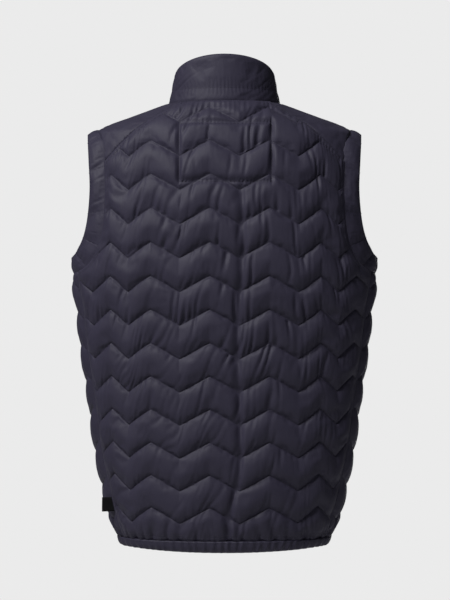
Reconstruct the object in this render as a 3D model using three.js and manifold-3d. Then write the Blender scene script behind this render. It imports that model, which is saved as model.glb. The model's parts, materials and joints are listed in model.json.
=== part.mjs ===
// A quilted stand-collar vest, filled out as if worn. Sizes are millimetres.
// +Z is up and +Y is towards the wearer's front, so +X is the wearer's right side. The origin is the
// centre of the neck opening, level with the back collar seam, where the shoulders hold the garment.

import * as THREE from "three";
import { mergeVertices } from "three/addons/utils/BufferGeometryUtils.js";
import Module from "manifold-3d";

const wasm = await Module();
wasm.setup();

// Driving sizes
const SEAM_GAP = 0.3;
const CHEST_GIRTH = 1160;
const HEM_SEAM_Z = -673;
const HEM_EDGE_Z = -690;
const UNDERARM_Z = -267;
const FORM_COLUMNS = 40;
const FAR = 400;

// The inside of the cloth at each level: half width, depth behind and in front of the shoulder line,
// and how square the section is (2 is an ellipse).
const SECTIONS = [
  { z: -720, half: 150, back: 88, front: 89, power: 2.2 },
  { z: -690, half: 154, back: 91, front: 92, power: 2.2 },
  { z: -673, half: 163, back: 97, front: 98, power: 2.2 },
  { z: -648, half: 172, back: 100, front: 102, power: 2.2 },
  { z: -623, half: 178, back: 102, front: 105, power: 2.2 },
  { z: -573, half: 189, back: 105, front: 109, power: 2.25 },
  { z: -523, half: 198, back: 107, front: 113, power: 2.3 },
  { z: -473, half: 204, back: 108, front: 116, power: 2.3 },
  { z: -423, half: 211, back: 110, front: 119, power: 2.3 },
  { z: -373, half: 218, back: 112, front: 121, power: 2.3 },
  { z: -323, half: 223, back: 114, front: 122, power: 2.3 },
  { z: -266, half: 231.5, back: 116, front: 122, power: 2.3 },
  { z: -200, half: 226, back: 116, front: 117, power: 2.3 },
  { z: -150, half: 222, back: 112, front: 108, power: 2.25 },
  { z: -100, half: 217, back: 104, front: 97, power: 2.2 },
  { z: -70, half: 213, back: 97, front: 88, power: 2.15 },
  { z: -52, half: 206, back: 91, front: 82, power: 2.1 },
  { z: -39, half: 180, back: 86, front: 78, power: 2.05 },
  { z: -27, half: 147, back: 80, front: 74, power: 2 },
  { z: -15, half: 114, back: 73, front: 70, power: 2 },
  { z: -3, half: 84, back: 65, front: 65, power: 2 },
  { z: 12, half: 60, back: 42, front: 44, power: 2 },
  { z: 110, half: 54, back: 38, front: 40, power: 2 },
];

// Chevron quilting: the height of one row, and the run and rise of each stroke of its zigzag.
const QUILT = { stroke: 45, rise: 24, crown: 7, stitched: 3 };
// The back's strokes narrow as they near its sides: from where, over what length, and by how much in all.
const NARROW = { from: 100, over: 170, by: 40 };
const ROW = { firstPeakZ: -14.5, pitch: 51.9, tighten: 0.105, top: -2, last: 12, end: 13.5 };
// How full the padding stands between one row of stitches and the next.
const PUFF = [
  { at: 0, full: 0 },
  { at: 0.18, full: 0.68 },
  { at: 0.5, full: 1 },
  { at: 0.82, full: 0.68 },
];
// The long crease that runs down the back beside its centre line.
const CREASE = { u: 22.5, halfWidth: 7, depth: 4, least: 1.8, topZ: -125, fadeLength: 40 };

const SIDE_SEAM_Y = -40;
const YOKE_WALL = 3;
const SEAM_SINK = 16;

// Seams as the back and front views show them, on the wearer's right side: x across, z up.
const BACK_YOKE_SEAM = [
  { x: 40, z: 18 },
  { x: 66, z: -2 },
  { x: 100, z: -24 },
  { x: 128, z: -43 },
  { x: 155, z: -67 },
  { x: 183, z: -97 },
];
const FRONT_YOKE_SEAM = [
  { x: 46, z: 10 },
  { x: 72, z: -13 },
  { x: 100, z: -36 },
  { x: 130, z: -61 },
  { x: 156, z: -84 },
  { x: 176, z: -104 },
];
// The armhole: its seam, and the free edge of the band that is sewn to it.
const BACK_ARMHOLE = [
  { seamX: 194, seamZ: -46, edgeX: 211, edgeY: 0, edgeZ: -53 },
  { seamX: 188, seamZ: -64, edgeX: 209, edgeY: -32, edgeZ: -64 },
  { seamX: 183, seamZ: -97, edgeX: 206, edgeY: -53, edgeZ: -95 },
  { seamX: 181, seamZ: -145, edgeX: 204, edgeY: -61, edgeZ: -140 },
  { seamX: 184, seamZ: -198, edgeX: 208, edgeY: -60, edgeZ: -187 },
  { seamX: 192, seamZ: -230, edgeX: 214, edgeY: -55, edgeZ: -212 },
  { seamX: 206, seamZ: -252, edgeX: 224, edgeY: -41, edgeZ: -232 },
  { seamX: 222, seamZ: -263, edgeX: 232, edgeY: -21, edgeZ: -241 },
  { seamX: 240, seamZ: UNDERARM_Z, edgeX: 236, edgeY: 0, edgeZ: -243 },
];
const FRONT_ARMHOLE = [
  { seamX: 194, seamZ: -46, edgeX: 211, edgeY: 0, edgeZ: -53 },
  { seamX: 186, seamZ: -66, edgeX: 208, edgeY: 31, edgeZ: -66 },
  { seamX: 176, seamZ: -104, edgeX: 203, edgeY: 52, edgeZ: -99 },
  { seamX: 172, seamZ: -148, edgeX: 199, edgeY: 61, edgeZ: -142 },
  { seamX: 177, seamZ: -200, edgeX: 204, edgeY: 62, edgeZ: -188 },
  { seamX: 188, seamZ: -232, edgeX: 212, edgeY: 58, edgeZ: -213 },
  { seamX: 204, seamZ: -253, edgeX: 223, edgeY: 43, edgeZ: -232 },
  { seamX: 221, seamZ: -263, edgeX: 232, edgeY: 22, edgeZ: -241 },
  { seamX: 240, seamZ: UNDERARM_Z, edgeX: 236, edgeY: 0, edgeZ: -243 },
];
const BAND = { stations: 48, puffs: 12, full: 5.4, thin: 2, inside: 1.8, middle: 1.5, overlap: 6 };

// The collar: an egg-shaped foot on the neck seam, and a smaller top edge in a plane that slopes forward.
const COLLAR_FOOT = { half: 87, back: 66, front: 88 };
const COLLAR_TOP = { half: 78, back: 60, front: 76 };
const COLLAR = { wall: 4, backTopZ: 70, frontTopZ: 4, channelHeight: 22, channelDepth: 0.9, columns: 52 };

const HEM = { gathers: 64, wave: 1.1, wall: 6.3 };

const ZIP = { clearHalf: 5.2, tapeFrom: 3.3, tapeTo: 15, tape: 1, tapeSink: 0.5, chainHalf: 3, chainThick: 2.4 };
const ZIP_BOX = { half: 4.8, height: 9 };
// The slider and its pull, in their own frame: z is up along the collar front and y stands out of it.
const SLIDER = { z: -9, half: 4.6, low: -6.5, high: 5.5, back: -2.4, face: -0.4, archHalf: 1.2, barY: 2 };
const PULL = { reach: 33, half: 4, thick: 1.6, windowHalf: 2.4, windowReach: 5.6 };
const TAB = { z: -623, height: 22, rootX: -167, rootY: -37.4, reach: 22.5, thick: 1.6, lean: 0.3 };

const NAVY = { color: "#2b2935", roughness: 0.55, metalness: 0 };
const BLACK = { color: "#0b0b0d", roughness: 0.7, metalness: 0 };
const GUNMETAL = { color: "#3a3a40", roughness: 0.35, metalness: 0.9 };

// Curves through short tables

// A value between table rows, with slopes that never overshoot them.
function between(rows, name, at) {
  const last = rows.length - 1;
  if (at <= rows[0].z) return rows[0][name];
  if (at >= rows[last].z) return rows[last][name];
  const i = rows.findIndex((row) => row.z > at) - 1;
  const slope = (k) => (rows[k + 1][name] - rows[k][name]) / (rows[k + 1].z - rows[k].z);
  const tangent = (k) => {
    if (k === 0) return slope(0);
    if (k === last) return slope(last - 1);
    const before = slope(k - 1);
    const after = slope(k);
    return before * after <= 0 ? 0 : (2 * before * after) / (before + after);
  };
  const h = rows[i + 1].z - rows[i].z;
  const t = (at - rows[i].z) / h;
  const rise = rows[i + 1][name] - rows[i][name];
  const bend = h * t * (1 - t) * (tangent(i) * (1 - t) - tangent(i + 1) * t);
  return rows[i][name] + rise * t * t * (3 - 2 * t) + bend;
}

function smooth(t) {
  const s = Math.min(1, Math.max(0, t));
  return s * s * (3 - 2 * s);
}

// A smooth path of [x, z] pairs through the named columns of a table.
function smoothPath(rows, xName, zName, steps) {
  const curve = new THREE.CatmullRomCurve3(rows.map((r) => new THREE.Vector3(r[xName], 0, r[zName])));
  return curve.getSpacedPoints(steps).map((p) => [p.x, p.z]);
}

// The same path moved sideways by a distance, to the left of its direction.
function movedPath(path, distance) {
  return path.map((point, i) => {
    const a = path[Math.max(0, i - 1)];
    const b = path[Math.min(path.length - 1, i + 1)];
    const length = Math.hypot(b[0] - a[0], b[1] - a[1]);
    return [point[0] - ((b[1] - a[1]) / length) * distance, point[1] + ((b[0] - a[0]) / length) * distance];
  });
}

function distanceToPath(path, x, z) {
  let nearest = Infinity;
  for (let i = 0; i + 1 < path.length; i++) {
    const [ax, az] = path[i];
    const dx = path[i + 1][0] - ax;
    const dz = path[i + 1][1] - az;
    const t = Math.min(1, Math.max(0, ((x - ax) * dx + (z - az) * dz) / (dx * dx + dz * dz)));
    nearest = Math.min(nearest, Math.hypot(x - ax - dx * t, z - az - dz * t));
  }
  return nearest;
}

// The body's form

function power(value, exponent) {
  return Math.sign(value) * Math.abs(value) ** exponent;
}

// A point of the section at height z; angle 0 is the centre back and a quarter turn is +X.
function sectionPoint(z, angle) {
  const bulge = 2 / between(SECTIONS, "power", z);
  const depth = Math.cos(angle) > 0 ? "back" : "front";
  return new THREE.Vector3(
    between(SECTIONS, "half", z) * power(Math.sin(angle), bulge),
    -between(SECTIONS, depth, z) * power(Math.cos(angle), bulge),
    z,
  );
}

const girthTables = new Map();
const GIRTH_STEPS = 120;

// Arc length from the centre back to the centre front along the +X side, as a table of angles.
function girthTable(z) {
  const key = Math.round(z * 1000);
  if (!girthTables.has(key)) {
    const lengths = [0];
    let last = sectionPoint(z, 0);
    for (let i = 1; i <= GIRTH_STEPS; i++) {
      const next = sectionPoint(z, (Math.PI * i) / GIRTH_STEPS);
      lengths.push(lengths[i - 1] + next.distanceTo(last));
      last = next;
    }
    girthTables.set(key, lengths);
  }
  return girthTables.get(key);
}

function halfGirth(z) {
  return girthTable(z)[GIRTH_STEPS];
}

// A point of the form: arc is the distance round from the centre back, positive towards +X.
function ringPoint(z, arc) {
  const lengths = girthTable(z);
  const girth = 2 * lengths[GIRTH_STEPS];
  const wrapped = arc - girth * Math.round(arc / girth);
  const way = Math.abs(wrapped);
  let i = lengths.findIndex((length) => length >= way);
  i = Math.max(1, i < 0 ? GIRTH_STEPS : i);
  const t = (way - lengths[i - 1]) / (lengths[i] - lengths[i - 1]);
  const angle = (Math.PI * (i - 1 + t)) / GIRTH_STEPS;
  return sectionPoint(z, Math.sign(wrapped || 1) * angle);
}

// The form moved out along its own normal.
function formPoint(z, share, out) {
  const at = (height, part) => ringPoint(height, part * 2 * halfGirth(height));
  const along = at(z, share + 0.002).sub(at(z, share - 0.002));
  const up = at(z + 0.5, share).sub(at(z - 0.5, share));
  const normal = along.cross(up).normalize();
  return at(z, share).addScaledVector(normal, out);
}

// Depth of the form at a place that the back or the front view shows; side is -1 behind and 1 in front.
function depthAt(x, z, side) {
  const bulge = between(SECTIONS, "power", z);
  const across = Math.min(1, Math.abs(x) / between(SECTIONS, "half", z));
  const depth = between(SECTIONS, side < 0 ? "back" : "front", z);
  return side * depth * (1 - across ** bulge) ** (1 / bulge);
}

// Solids

function solidOf(geometry) {
  const bare = geometry.clone();
  bare.deleteAttribute("normal");
  bare.deleteAttribute("uv");
  const merged = mergeVertices(bare, 1e-4);
  return new wasm.Manifold(
    new wasm.Mesh({
      numProp: 3,
      vertProperties: merged.attributes.position.array,
      triVerts: new Uint32Array(merged.index.array),
    }),
  );
}

function geometryOf(points, triangles) {
  return new THREE.BufferGeometry()
    .setAttribute("position", new THREE.Float32BufferAttribute(points.flatMap((p) => p.toArray()), 3))
    .setIndex(triangles);
}

// A closed solid through loops of equal length, from the lowest to the highest, each counter-clockwise
// seen from above.
function loftGeometry(loops) {
  const count = loops[0].length;
  const points = loops.flat();
  const triangles = [];
  for (let row = 0; row + 1 < loops.length; row++)
    for (let i = 0; i < count; i++) {
      const a = row * count + i;
      const b = row * count + ((i + 1) % count);
      triangles.push(a, b, b + count, a, b + count, a + count);
    }
  const middle = (loop) => loop.reduce((sum, p) => sum.add(p), new THREE.Vector3()).divideScalar(count);
  const bottom = points.push(middle(loops[0])) - 1;
  const top = points.push(middle(loops.at(-1))) - 1;
  const lastRow = (loops.length - 1) * count;
  for (let i = 0; i < count; i++) {
    const next = (i + 1) % count;
    triangles.push(bottom, next, i, top, lastRow + i, lastRow + next);
  }
  return geometryOf(points, triangles);
}

// A closed ring through equal cross-sections that follow a closed path.
function ringGeometry(sections) {
  const count = sections[0].length;
  const points = sections.flat();
  const triangles = [];
  sections.forEach((_, s) => {
    for (let i = 0; i < count; i++) {
      const a = s * count + i;
      const b = s * count + ((i + 1) % count);
      const c = ((s + 1) % sections.length) * count + ((i + 1) % count);
      const d = ((s + 1) % sections.length) * count + i;
      triangles.push(a, b, c, a, c, d);
    }
  });
  return geometryOf(points, triangles);
}

// A flat outline of [x, z] pairs pushed along Y, from y0 to y1.
function slab(outline, y0, y1) {
  const shape = new THREE.Shape(outline.map(([x, z]) => new THREE.Vector2(x, z)));
  const geometry = new THREE.ExtrudeGeometry(shape, { depth: y1 - y0, bevelEnabled: false });
  return solidOf(geometry.rotateX(Math.PI / 2).translate(0, y1, 0));
}

function boxAround(x0, x1, y0, y1, z0, z1) {
  const geometry = new THREE.BoxGeometry(x1 - x0, y1 - y0, z1 - z0);
  return solidOf(geometry.translate((x0 + x1) / 2, (y0 + y1) / 2, (z0 + z1) / 2));
}

// The largest piece that a cut leaves.
function largest(solid) {
  return solid.decompose().reduce((best, piece) => (piece.volume() > best.volume() ? piece : best));
}

function geometryFrom(solid) {
  const mesh = solid.getMesh();
  return new THREE.BufferGeometry()
    .setAttribute("position", new THREE.BufferAttribute(new Float32Array(mesh.vertProperties), 3))
    .setIndex(new THREE.BufferAttribute(new Uint32Array(mesh.triVerts), 1));
}

// The same geometry on the wearer's other side.
function mirrored(geometry) {
  const other = geometry.clone().scale(-1, 1, 1);
  const index = other.index.array;
  for (let i = 0; i < index.length; i += 3) [index[i + 1], index[i + 2]] = [index[i + 2], index[i + 1]];
  return other;
}

function meshNamed(name, geometry, look) {
  const mesh = new THREE.Mesh(geometry, new THREE.MeshStandardMaterial(look));
  mesh.name = name;
  return mesh;
}

// Where the form's surface stands over a place in plan.
function heightAt(x, y) {
  const inside = (z) => {
    const bulge = between(SECTIONS, "power", z);
    const depth = between(SECTIONS, y < 0 ? "back" : "front", z);
    return Math.abs(x / between(SECTIONS, "half", z)) ** bulge + Math.abs(y / depth) ** bulge < 1;
  };
  let low = UNDERARM_Z;
  let high = 12;
  for (let i = 0; i < 40; i++) {
    const middle = (low + high) / 2;
    if (inside(middle)) low = middle;
    else high = middle;
  }
  return low;
}

// The filled form moved out evenly.
function evenForm(out) {
  const loops = SECTIONS.map(({ z }) =>
    Array.from({ length: FORM_COLUMNS }, (_, i) => formPoint(z, i / FORM_COLUMNS, out)),
  );
  return solidOf(loftGeometry(loops));
}

// Seams and the regions between them

const backYoke = smoothPath(BACK_YOKE_SEAM, "x", "z", 10);
const frontYoke = smoothPath(FRONT_YOKE_SEAM, "x", "z", 10);
const backArmhole = smoothPath(BACK_ARMHOLE, "seamX", "seamZ", 22);
const frontArmhole = smoothPath(FRONT_ARMHOLE, "seamX", "seamZ", 22);

const flipped = (path) => path.map(([x, z]) => [-x, z]).reverse();

// All between the two armhole seams, and everything below the underarm.
function betweenArmholes(armhole, moved) {
  const path = movedPath(armhole, moved);
  const right = [[path[0][0], FAR], ...path, [FAR, path.at(-1)[1]], [FAR, -2 * FAR]];
  return [...right, ...flipped(right)];
}

// All below the yoke seams.
function belowYokes(yoke, moved) {
  const path = movedPath(yoke, moved);
  const right = [...path, [FAR, path.at(-1)[1] - 60], [FAR, -2 * FAR]];
  return [...right, ...flipped(right)];
}

// The body without the bands: inside both armhole seams, moved out by the given distance.
function bodyRegion(moved) {
  const overlap = 0.02;
  return slab(betweenArmholes(backArmhole, moved), -FAR, overlap).add(
    slab(betweenArmholes(frontArmhole, moved), -overlap, FAR),
  );
}

const HALF_GAP = SEAM_GAP / 2;
const everySide = [-FAR, FAR, -FAR, FAR];
const belowHemSeam = boxAround(...everySide, -3 * FAR, HEM_SEAM_Z + HALF_GAP);
const zipGap = boxAround(-ZIP.clearHalf, ZIP.clearHalf, 30, FAR, -3 * FAR, FAR);
const innerForm = evenForm(0);

// Quilted panels

// How far a stroke of the zigzag has fallen from its peak, a distance of one stroke or less away.
function strokeDrop(fromPeak) {
  const turns = fromPeak / (2 * QUILT.stroke);
  return QUILT.rise * 2 * Math.abs(turns - Math.round(turns));
}

function rowPeakZ(row) {
  return ROW.firstPeakZ - ROW.pitch * row + ROW.tighten * row * row;
}

// Lengths are true over the middle of a panel, and the rest of the ring closes up behind it.
function arcOnRing(u, z, behind) {
  const girth = halfGirth(z);
  const narrowed = (way) => (behind ? way - NARROW.by * smooth((way - NARROW.from) / NARROW.over) : way);
  const whole = narrowed(CHEST_GIRTH / 2);
  const kept = Math.min(0.62 * girth, whole);
  const way = narrowed(Math.abs(u));
  const rest = (way - kept) / (whole - kept);
  return Math.sign(u) * (way <= kept ? way : kept + rest * (girth - kept));
}

// Distances round the body, from the middle of a panel, at which its surface bends.
function quiltColumns(behind) {
  const step = QUILT.stroke / 2;
  const steps = Math.floor(CHEST_GIRTH / 2 / step);
  const even = Array.from({ length: 2 * steps + 1 }, (_, i) => (i - steps) * step);
  const creased = behind ? [CREASE.u - CREASE.halfWidth, CREASE.u + CREASE.halfWidth] : [];
  return [...even, ...creased, CHEST_GIRTH / 2].sort((a, b) => a - b);
}

// How far a point lies outside the collar's foot in plan.
function toNeck({ x, y }) {
  const reach = Math.hypot(x / COLLAR_FOOT.half, y / (y < 0 ? COLLAR_FOOT.back : COLLAR_FOOT.front));
  return Math.max(0, Math.hypot(x, y) * (1 - 1 / reach));
}

// A filled body with chevron quilting round it: the back's pattern runs across the centre line, and the
// front's is the same on both sides of the zip.
function quiltedForm(behind) {
  const seams = behind ? [backYoke, backArmhole] : [frontYoke, frontArmhole];
  const columns = quiltColumns(behind);
  const point = (u, row, full) => {
    const fromPeak = behind ? u + QUILT.stroke / 2 : Math.abs(u) - QUILT.stroke / 2;
    const z = rowPeakZ(row) - strokeDrop(fromPeak);
    const share = arcOnRing(u, z, behind) / (2 * halfGirth(z)) + (behind ? 0 : 0.5);
    const base = formPoint(z, share, 0);
    const toSeam = Math.min(toNeck(base), ...seams.map((path) => distanceToPath(path, Math.abs(base.x), z)));
    const toSide = Math.abs(base.y - SIDE_SEAM_Y);
    const toHem = z - HEM_SEAM_Z;
    const rise = smooth(0.1 + Math.min(toSeam, toSide) / SEAM_SINK) * smooth(0.25 + toHem / (3 * SEAM_SINK));
    const inCrease = behind ? Math.max(0, 1 - Math.abs(u - CREASE.u) / CREASE.halfWidth) : 0;
    const sunk = CREASE.depth * inCrease * smooth((CREASE.topZ - z) / CREASE.fadeLength);
    return formPoint(z, share, Math.max(CREASE.least, QUILT.stitched + QUILT.crown * full * rise - sunk));
  };
  const levels = [];
  for (let row = ROW.top; row <= ROW.end; row++)
    for (const { at, full } of PUFF)
      if (row + at <= ROW.end) levels.push({ row: row + at, full: row > ROW.last ? 1 : full });
  return solidOf(loftGeometry(levels.reverse().map(({ row, full }) => columns.map((u) => point(u, row, full)))));
}

// The collar

// A point of an egg-shaped outline in plan; angle 0 is the centre back and a quarter turn is +X.
function outlinePoint(egg, angle, grown) {
  const depth = Math.cos(angle) > 0 ? egg.back : egg.front;
  return new THREE.Vector2((egg.half + grown) * Math.sin(angle), -(depth + grown) * Math.cos(angle));
}

function collarTopZ(y) {
  const forward = (y + COLLAR_TOP.back) / (COLLAR_TOP.back + COLLAR_TOP.front);
  return COLLAR.backTopZ + forward * (COLLAR.frontTopZ - COLLAR.backTopZ);
}

// A point of the collar's outer face at a height above its seam, moved out by grown.
function collarPoint(angle, height, grown) {
  const foot = outlinePoint(COLLAR_FOOT, angle, grown);
  const top = outlinePoint(COLLAR_TOP, angle, grown);
  const seam = outlinePoint(COLLAR_FOOT, angle, 0);
  const seamZ = heightAt(seam.x, seam.y);
  const whole = collarTopZ(outlinePoint(COLLAR_TOP, angle, 0).y) - seamZ;
  const share = height <= 1 ? Math.max(0, height) : height / whole;
  const flat = foot.lerp(top, share);
  return new THREE.Vector3(flat.x, flat.y, seamZ + (height < 0 ? height : share * whole));
}

// Heights of the collar's section in order round its wall: shares of its height up to 1, or millimetres
// where more, and how far in from its outer face.
const COLLAR_SECTION = [
  { height: 1, inset: 2 },
  { height: 0.975, inset: 0.6 },
  { height: 0.9, inset: 0 },
  { height: COLLAR.channelHeight + 4, inset: 0 },
  { height: COLLAR.channelHeight, inset: COLLAR.channelDepth },
  { height: COLLAR.channelHeight - 4, inset: 0 },
  { height: -12, inset: 0 },
  { height: -12, inset: COLLAR.wall },
  { height: 0.5, inset: COLLAR.wall },
  { height: 0.975, inset: COLLAR.wall - 0.6 },
];

function collarSolid() {
  const sections = Array.from({ length: COLLAR.columns }, (_, i) =>
    COLLAR_SECTION.map(({ height, inset }) =>
      collarPoint((2 * Math.PI * i) / COLLAR.columns, height, -inset),
    ),
  );
  return solidOf(ringGeometry(sections)).subtract(innerForm).subtract(zipGap);
}

// What the collar's foot takes out of the panels that it stands on.
function neckPlug() {
  const outline = (z) =>
    Array.from({ length: COLLAR.columns }, (_, i) => {
      const flat = outlinePoint(COLLAR_FOOT, (2 * Math.PI * i) / COLLAR.columns, SEAM_GAP);
      return new THREE.Vector3(flat.x, flat.y, z);
    });
  const frontSeamZ = heightAt(0, COLLAR_FOOT.front);
  return solidOf(loftGeometry([outline(frontSeamZ - 5), outline(FAR)]));
}

// Armhole bands

function seamPoint(row, side, atEnd) {
  const x = Math.min(row.seamX, between(SECTIONS, "half", row.seamZ));
  return new THREE.Vector3(x, atEnd ? 0 : depthAt(x, row.seamZ, side), row.seamZ);
}

const edgePoint = (row) => new THREE.Vector3(row.edgeX, row.edgeY, row.edgeZ);

// The band's section, from its free edge to its seam outside and back inside: the share of its width,
// and how much of its full, thin or inner thickness stands there.
const BAND_SECTION = [
  { across: 1, thin: 0, puffed: 0 },
  { across: 0.92, thin: 1, puffed: 0 },
  { across: 0.66, thin: 1, puffed: 1 },
  { across: 0.3, thin: 1, puffed: 1 },
  { across: 0, thin: 0.8, puffed: 0 },
  { across: 0, thin: -0.8, puffed: 0 },
  { across: 0.4, thin: -0.9, puffed: 0 },
  { across: 0.92, thin: -0.9, puffed: 0 },
];

// The band on the wearer's right side, from the shoulder down the back and up the front.
function armholeBand() {
  const last = BACK_ARMHOLE.length - 1;
  const front = FRONT_ARMHOLE.slice(1, last).reverse();
  const seam = [
    ...BACK_ARMHOLE.map((row, i) => seamPoint(row, -1, i === 0 || i === last)),
    ...front.map((row) => seamPoint(row, 1, false)),
  ];
  const edge = [...BACK_ARMHOLE, ...front].map(edgePoint);
  const seamCurve = new THREE.CatmullRomCurve3(seam, true);
  const edgeCurve = new THREE.CatmullRomCurve3(edge, true);
  const sections = Array.from({ length: BAND.stations }, (_, i) => {
    const t = i / BAND.stations;
    const from = seamCurve.getPoint(t);
    const across = edgeCurve.getPoint(t).sub(from);
    const along = seamCurve.getTangent(t).add(edgeCurve.getTangent(t));
    const out = along.cross(across).normalize();
    const puff = (BAND.full - BAND.thin) * Math.abs(Math.sin(Math.PI * BAND.puffs * t)) ** 0.5;
    const overlap = BAND.overlap / across.length();
    return BAND_SECTION.map((place) => {
      const share = place.across || -overlap;
      const thick = BAND.thin * place.thin + puff * place.puffed;
      const middle = BAND.middle * Math.max(0, 1 - share);
      return from.clone().addScaledVector(across, share).addScaledVector(out, thick + middle);
    });
  });
  return largest(solidOf(ringGeometry(sections)).subtract(bodyRegion(HALF_GAP)));
}

// The hem binding

// The binding's rows from its edge up: height, share of its wall, and share of its gathers' wave.
const HEM_SECTION = [
  { z: HEM_EDGE_Z, wall: 0.45, wave: 0.3 },
  { z: HEM_EDGE_Z + 2, wall: 0.9, wave: 1 },
  { z: HEM_EDGE_Z + 9, wall: 1, wave: 1 },
  { z: HEM_SEAM_Z - HALF_GAP, wall: 0.75, wave: 0.7 },
];

function hemBinding() {
  const columns = 2 * HEM.gathers;
  const loops = HEM_SECTION.map(({ z, wall, wave }) =>
    Array.from({ length: columns }, (_, i) =>
      formPoint(z, i / columns, HEM.wall * wall + HEM.wave * wave * (i % 2 ? 1 : -1)),
    ),
  );
  return solidOf(loftGeometry(loops)).subtract(innerForm).subtract(zipGap);
}

// The zip

// Depth of the inner faces that the zip lies behind: the fronts' and, above their seam, the collar's.
function zipDepth(x, z) {
  const seamZ = heightAt(0, COLLAR_FOOT.front);
  const share = (z - seamZ) / (COLLAR.frontTopZ - seamZ);
  const along = (name) => COLLAR_FOOT[name] + share * (COLLAR_TOP[name] - COLLAR_FOOT[name]) - COLLAR.wall;
  const collar = along("front") * Math.sqrt(1 - (x / along("half")) ** 2);
  const risen = smooth((z - seamZ + 24) / 26);
  return risen * collar + (1 - risen) * depthAt(x, z, 1);
}

// A strip of the zip between two x values, from inner to outer depth behind those faces.
function zipStrip(x0, x1, inner, outer, z0, z1) {
  const inside = SECTIONS.map(({ z }) => z).filter((z) => z > z0 + 1 && z < z1 - 1 && z < -71);
  const heights = [z0, ...inside, -84, -77, -70, -63, z1].filter((z) => z <= z1).sort((a, b) => a - b);
  const corner = (x, z, depth) => new THREE.Vector3(x, zipDepth(x, z) + depth, z);
  const loops = [...new Set(heights)].map((z) => [
    corner(x0, z, inner),
    corner(x1, z, inner),
    corner(x1, z, outer),
    corner(x0, z, outer),
  ]);
  return loftGeometry(loops);
}

const sliderLean = Math.atan2(COLLAR_FOOT.front - COLLAR_TOP.front, COLLAR.frontTopZ - heightAt(0, COLLAR_FOOT.front));

// A flat shape of [z, y] pairs in the slider's frame, as thick as twice half, centred on the zip.
function sliderShape(outline, half, hole) {
  const toShape = (points, Kind) => new Kind(points.map(([z, y]) => new THREE.Vector2(y, z)));
  const shape = toShape(outline, THREE.Shape);
  if (hole) shape.holes.push(toShape(hole, THREE.Path));
  const geometry = new THREE.ExtrudeGeometry(shape, { depth: 2 * half, bevelEnabled: false });
  // The shape's plane is turned to the slider's y and z, and its thickness to x.
  const turn = new THREE.Matrix4().set(0, 0, 1, -half, 1, 0, 0, 0, 0, 1, 0, 0, 0, 0, 0, 1);
  return solidOf(geometry.applyMatrix4(turn));
}

function sliderBody() {
  const plate = [
    [SLIDER.low, SLIDER.back],
    [SLIDER.low, SLIDER.face - 0.6],
    [SLIDER.low + 0.8, SLIDER.face],
    [SLIDER.high - 0.8, SLIDER.face],
    [SLIDER.high, SLIDER.face - 0.6],
    [SLIDER.high, SLIDER.back],
  ];
  const arch = [
    [-4.4, -1],
    [-4, 3.4],
    [-2.8, 4.8],
    [3.2, 4.8],
    [4.6, 3.4],
    [5.2, -1],
    [3.9, -1],
    [3.3, 3],
    [2.7, 3.5],
    [-2.3, 3.5],
    [-2.8, 3],
    [-3.1, -1],
  ];
  return sliderShape(plate, SLIDER.half).add(sliderShape(arch, SLIDER.archHalf));
}

// A flat pull with a window that its bar crosses, hanging from the slider's arch.
function pullBody() {
  const top = 1.7;
  const shape = new THREE.Shape();
  const corner = 1.5;
  shape.moveTo(-PULL.half + corner, top);
  shape.lineTo(-PULL.half, top - corner);
  shape.lineTo(-PULL.half, -PULL.reach + PULL.half);
  shape.absarc(0, -PULL.reach + PULL.half, PULL.half, Math.PI, 2 * Math.PI, false);
  shape.lineTo(PULL.half, top - corner);
  shape.lineTo(PULL.half - corner, top);
  const window = new THREE.Path();
  window.moveTo(-PULL.windowHalf, 0);
  window.lineTo(PULL.windowHalf, 0);
  window.lineTo(PULL.windowHalf, -PULL.windowReach);
  window.lineTo(-PULL.windowHalf, -PULL.windowReach);
  shape.holes.push(window);
  const settings = { depth: PULL.thick, bevelEnabled: false, curveSegments: 8 };
  const plate = new THREE.ExtrudeGeometry(shape, settings).rotateX(Math.PI / 2).translate(0, PULL.thick / 2, 0);
  return solidOf(plate.translate(0, SLIDER.barY, 0));
}

// The folded label in the side seam

// Its foot is shaped to the filled bodies that it stands on, a seam gap clear of them.
function sideTab(bodies) {
  const shape = new THREE.Shape();
  const half = TAB.thick / 2;
  shape.moveTo(0, -half);
  shape.lineTo(TAB.reach - half, -half);
  shape.absarc(TAB.reach - half, 0, half, -Math.PI / 2, Math.PI / 2, false);
  shape.lineTo(0, half);
  const settings = { depth: TAB.height, bevelEnabled: false, curveSegments: 5 };
  const geometry = new THREE.ExtrudeGeometry(shape, settings).rotateZ(Math.PI + TAB.lean);
  const placed = geometry.translate(TAB.rootX, TAB.rootY, TAB.z - TAB.height / 2);
  const shifts = [-1, 0, 1].map((side) => [-1.3 * SEAM_GAP, side * SEAM_GAP, 0]);
  const moved = bodies.flatMap((body) => shifts.map((shift) => solidOf(body.clone().translate(...shift))));
  return largest(moved.reduce((tab, body) => tab.subtract(body), solidOf(placed)));
}

// Assembly

const plug = neckPlug();
const backRegion = slab(betweenArmholes(backArmhole, -HALF_GAP), -FAR, SIDE_SEAM_Y - HALF_GAP).intersect(
  slab(belowYokes(backYoke, -HALF_GAP), -FAR, SIDE_SEAM_Y - HALF_GAP),
);
const frontSideY = SIDE_SEAM_Y + HALF_GAP;
const frontRegion = slab(betweenArmholes(frontArmhole, -HALF_GAP), frontSideY, FAR).intersect(
  slab(belowYokes(frontYoke, -HALF_GAP), frontSideY, FAR),
);
const rightHalf = boxAround(0, FAR, -FAR, FAR, -3 * FAR, FAR);

const panel = (form, region) =>
  form.subtract(innerForm).intersect(region).subtract(plug).subtract(belowHemSeam);

const backForm = quiltedForm(true);
const frontForm = quiltedForm(false);
const backPanel = largest(panel(backForm, backRegion));
const frontRight = largest(panel(frontForm, frontRegion).subtract(zipGap).intersect(rightHalf));

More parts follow.
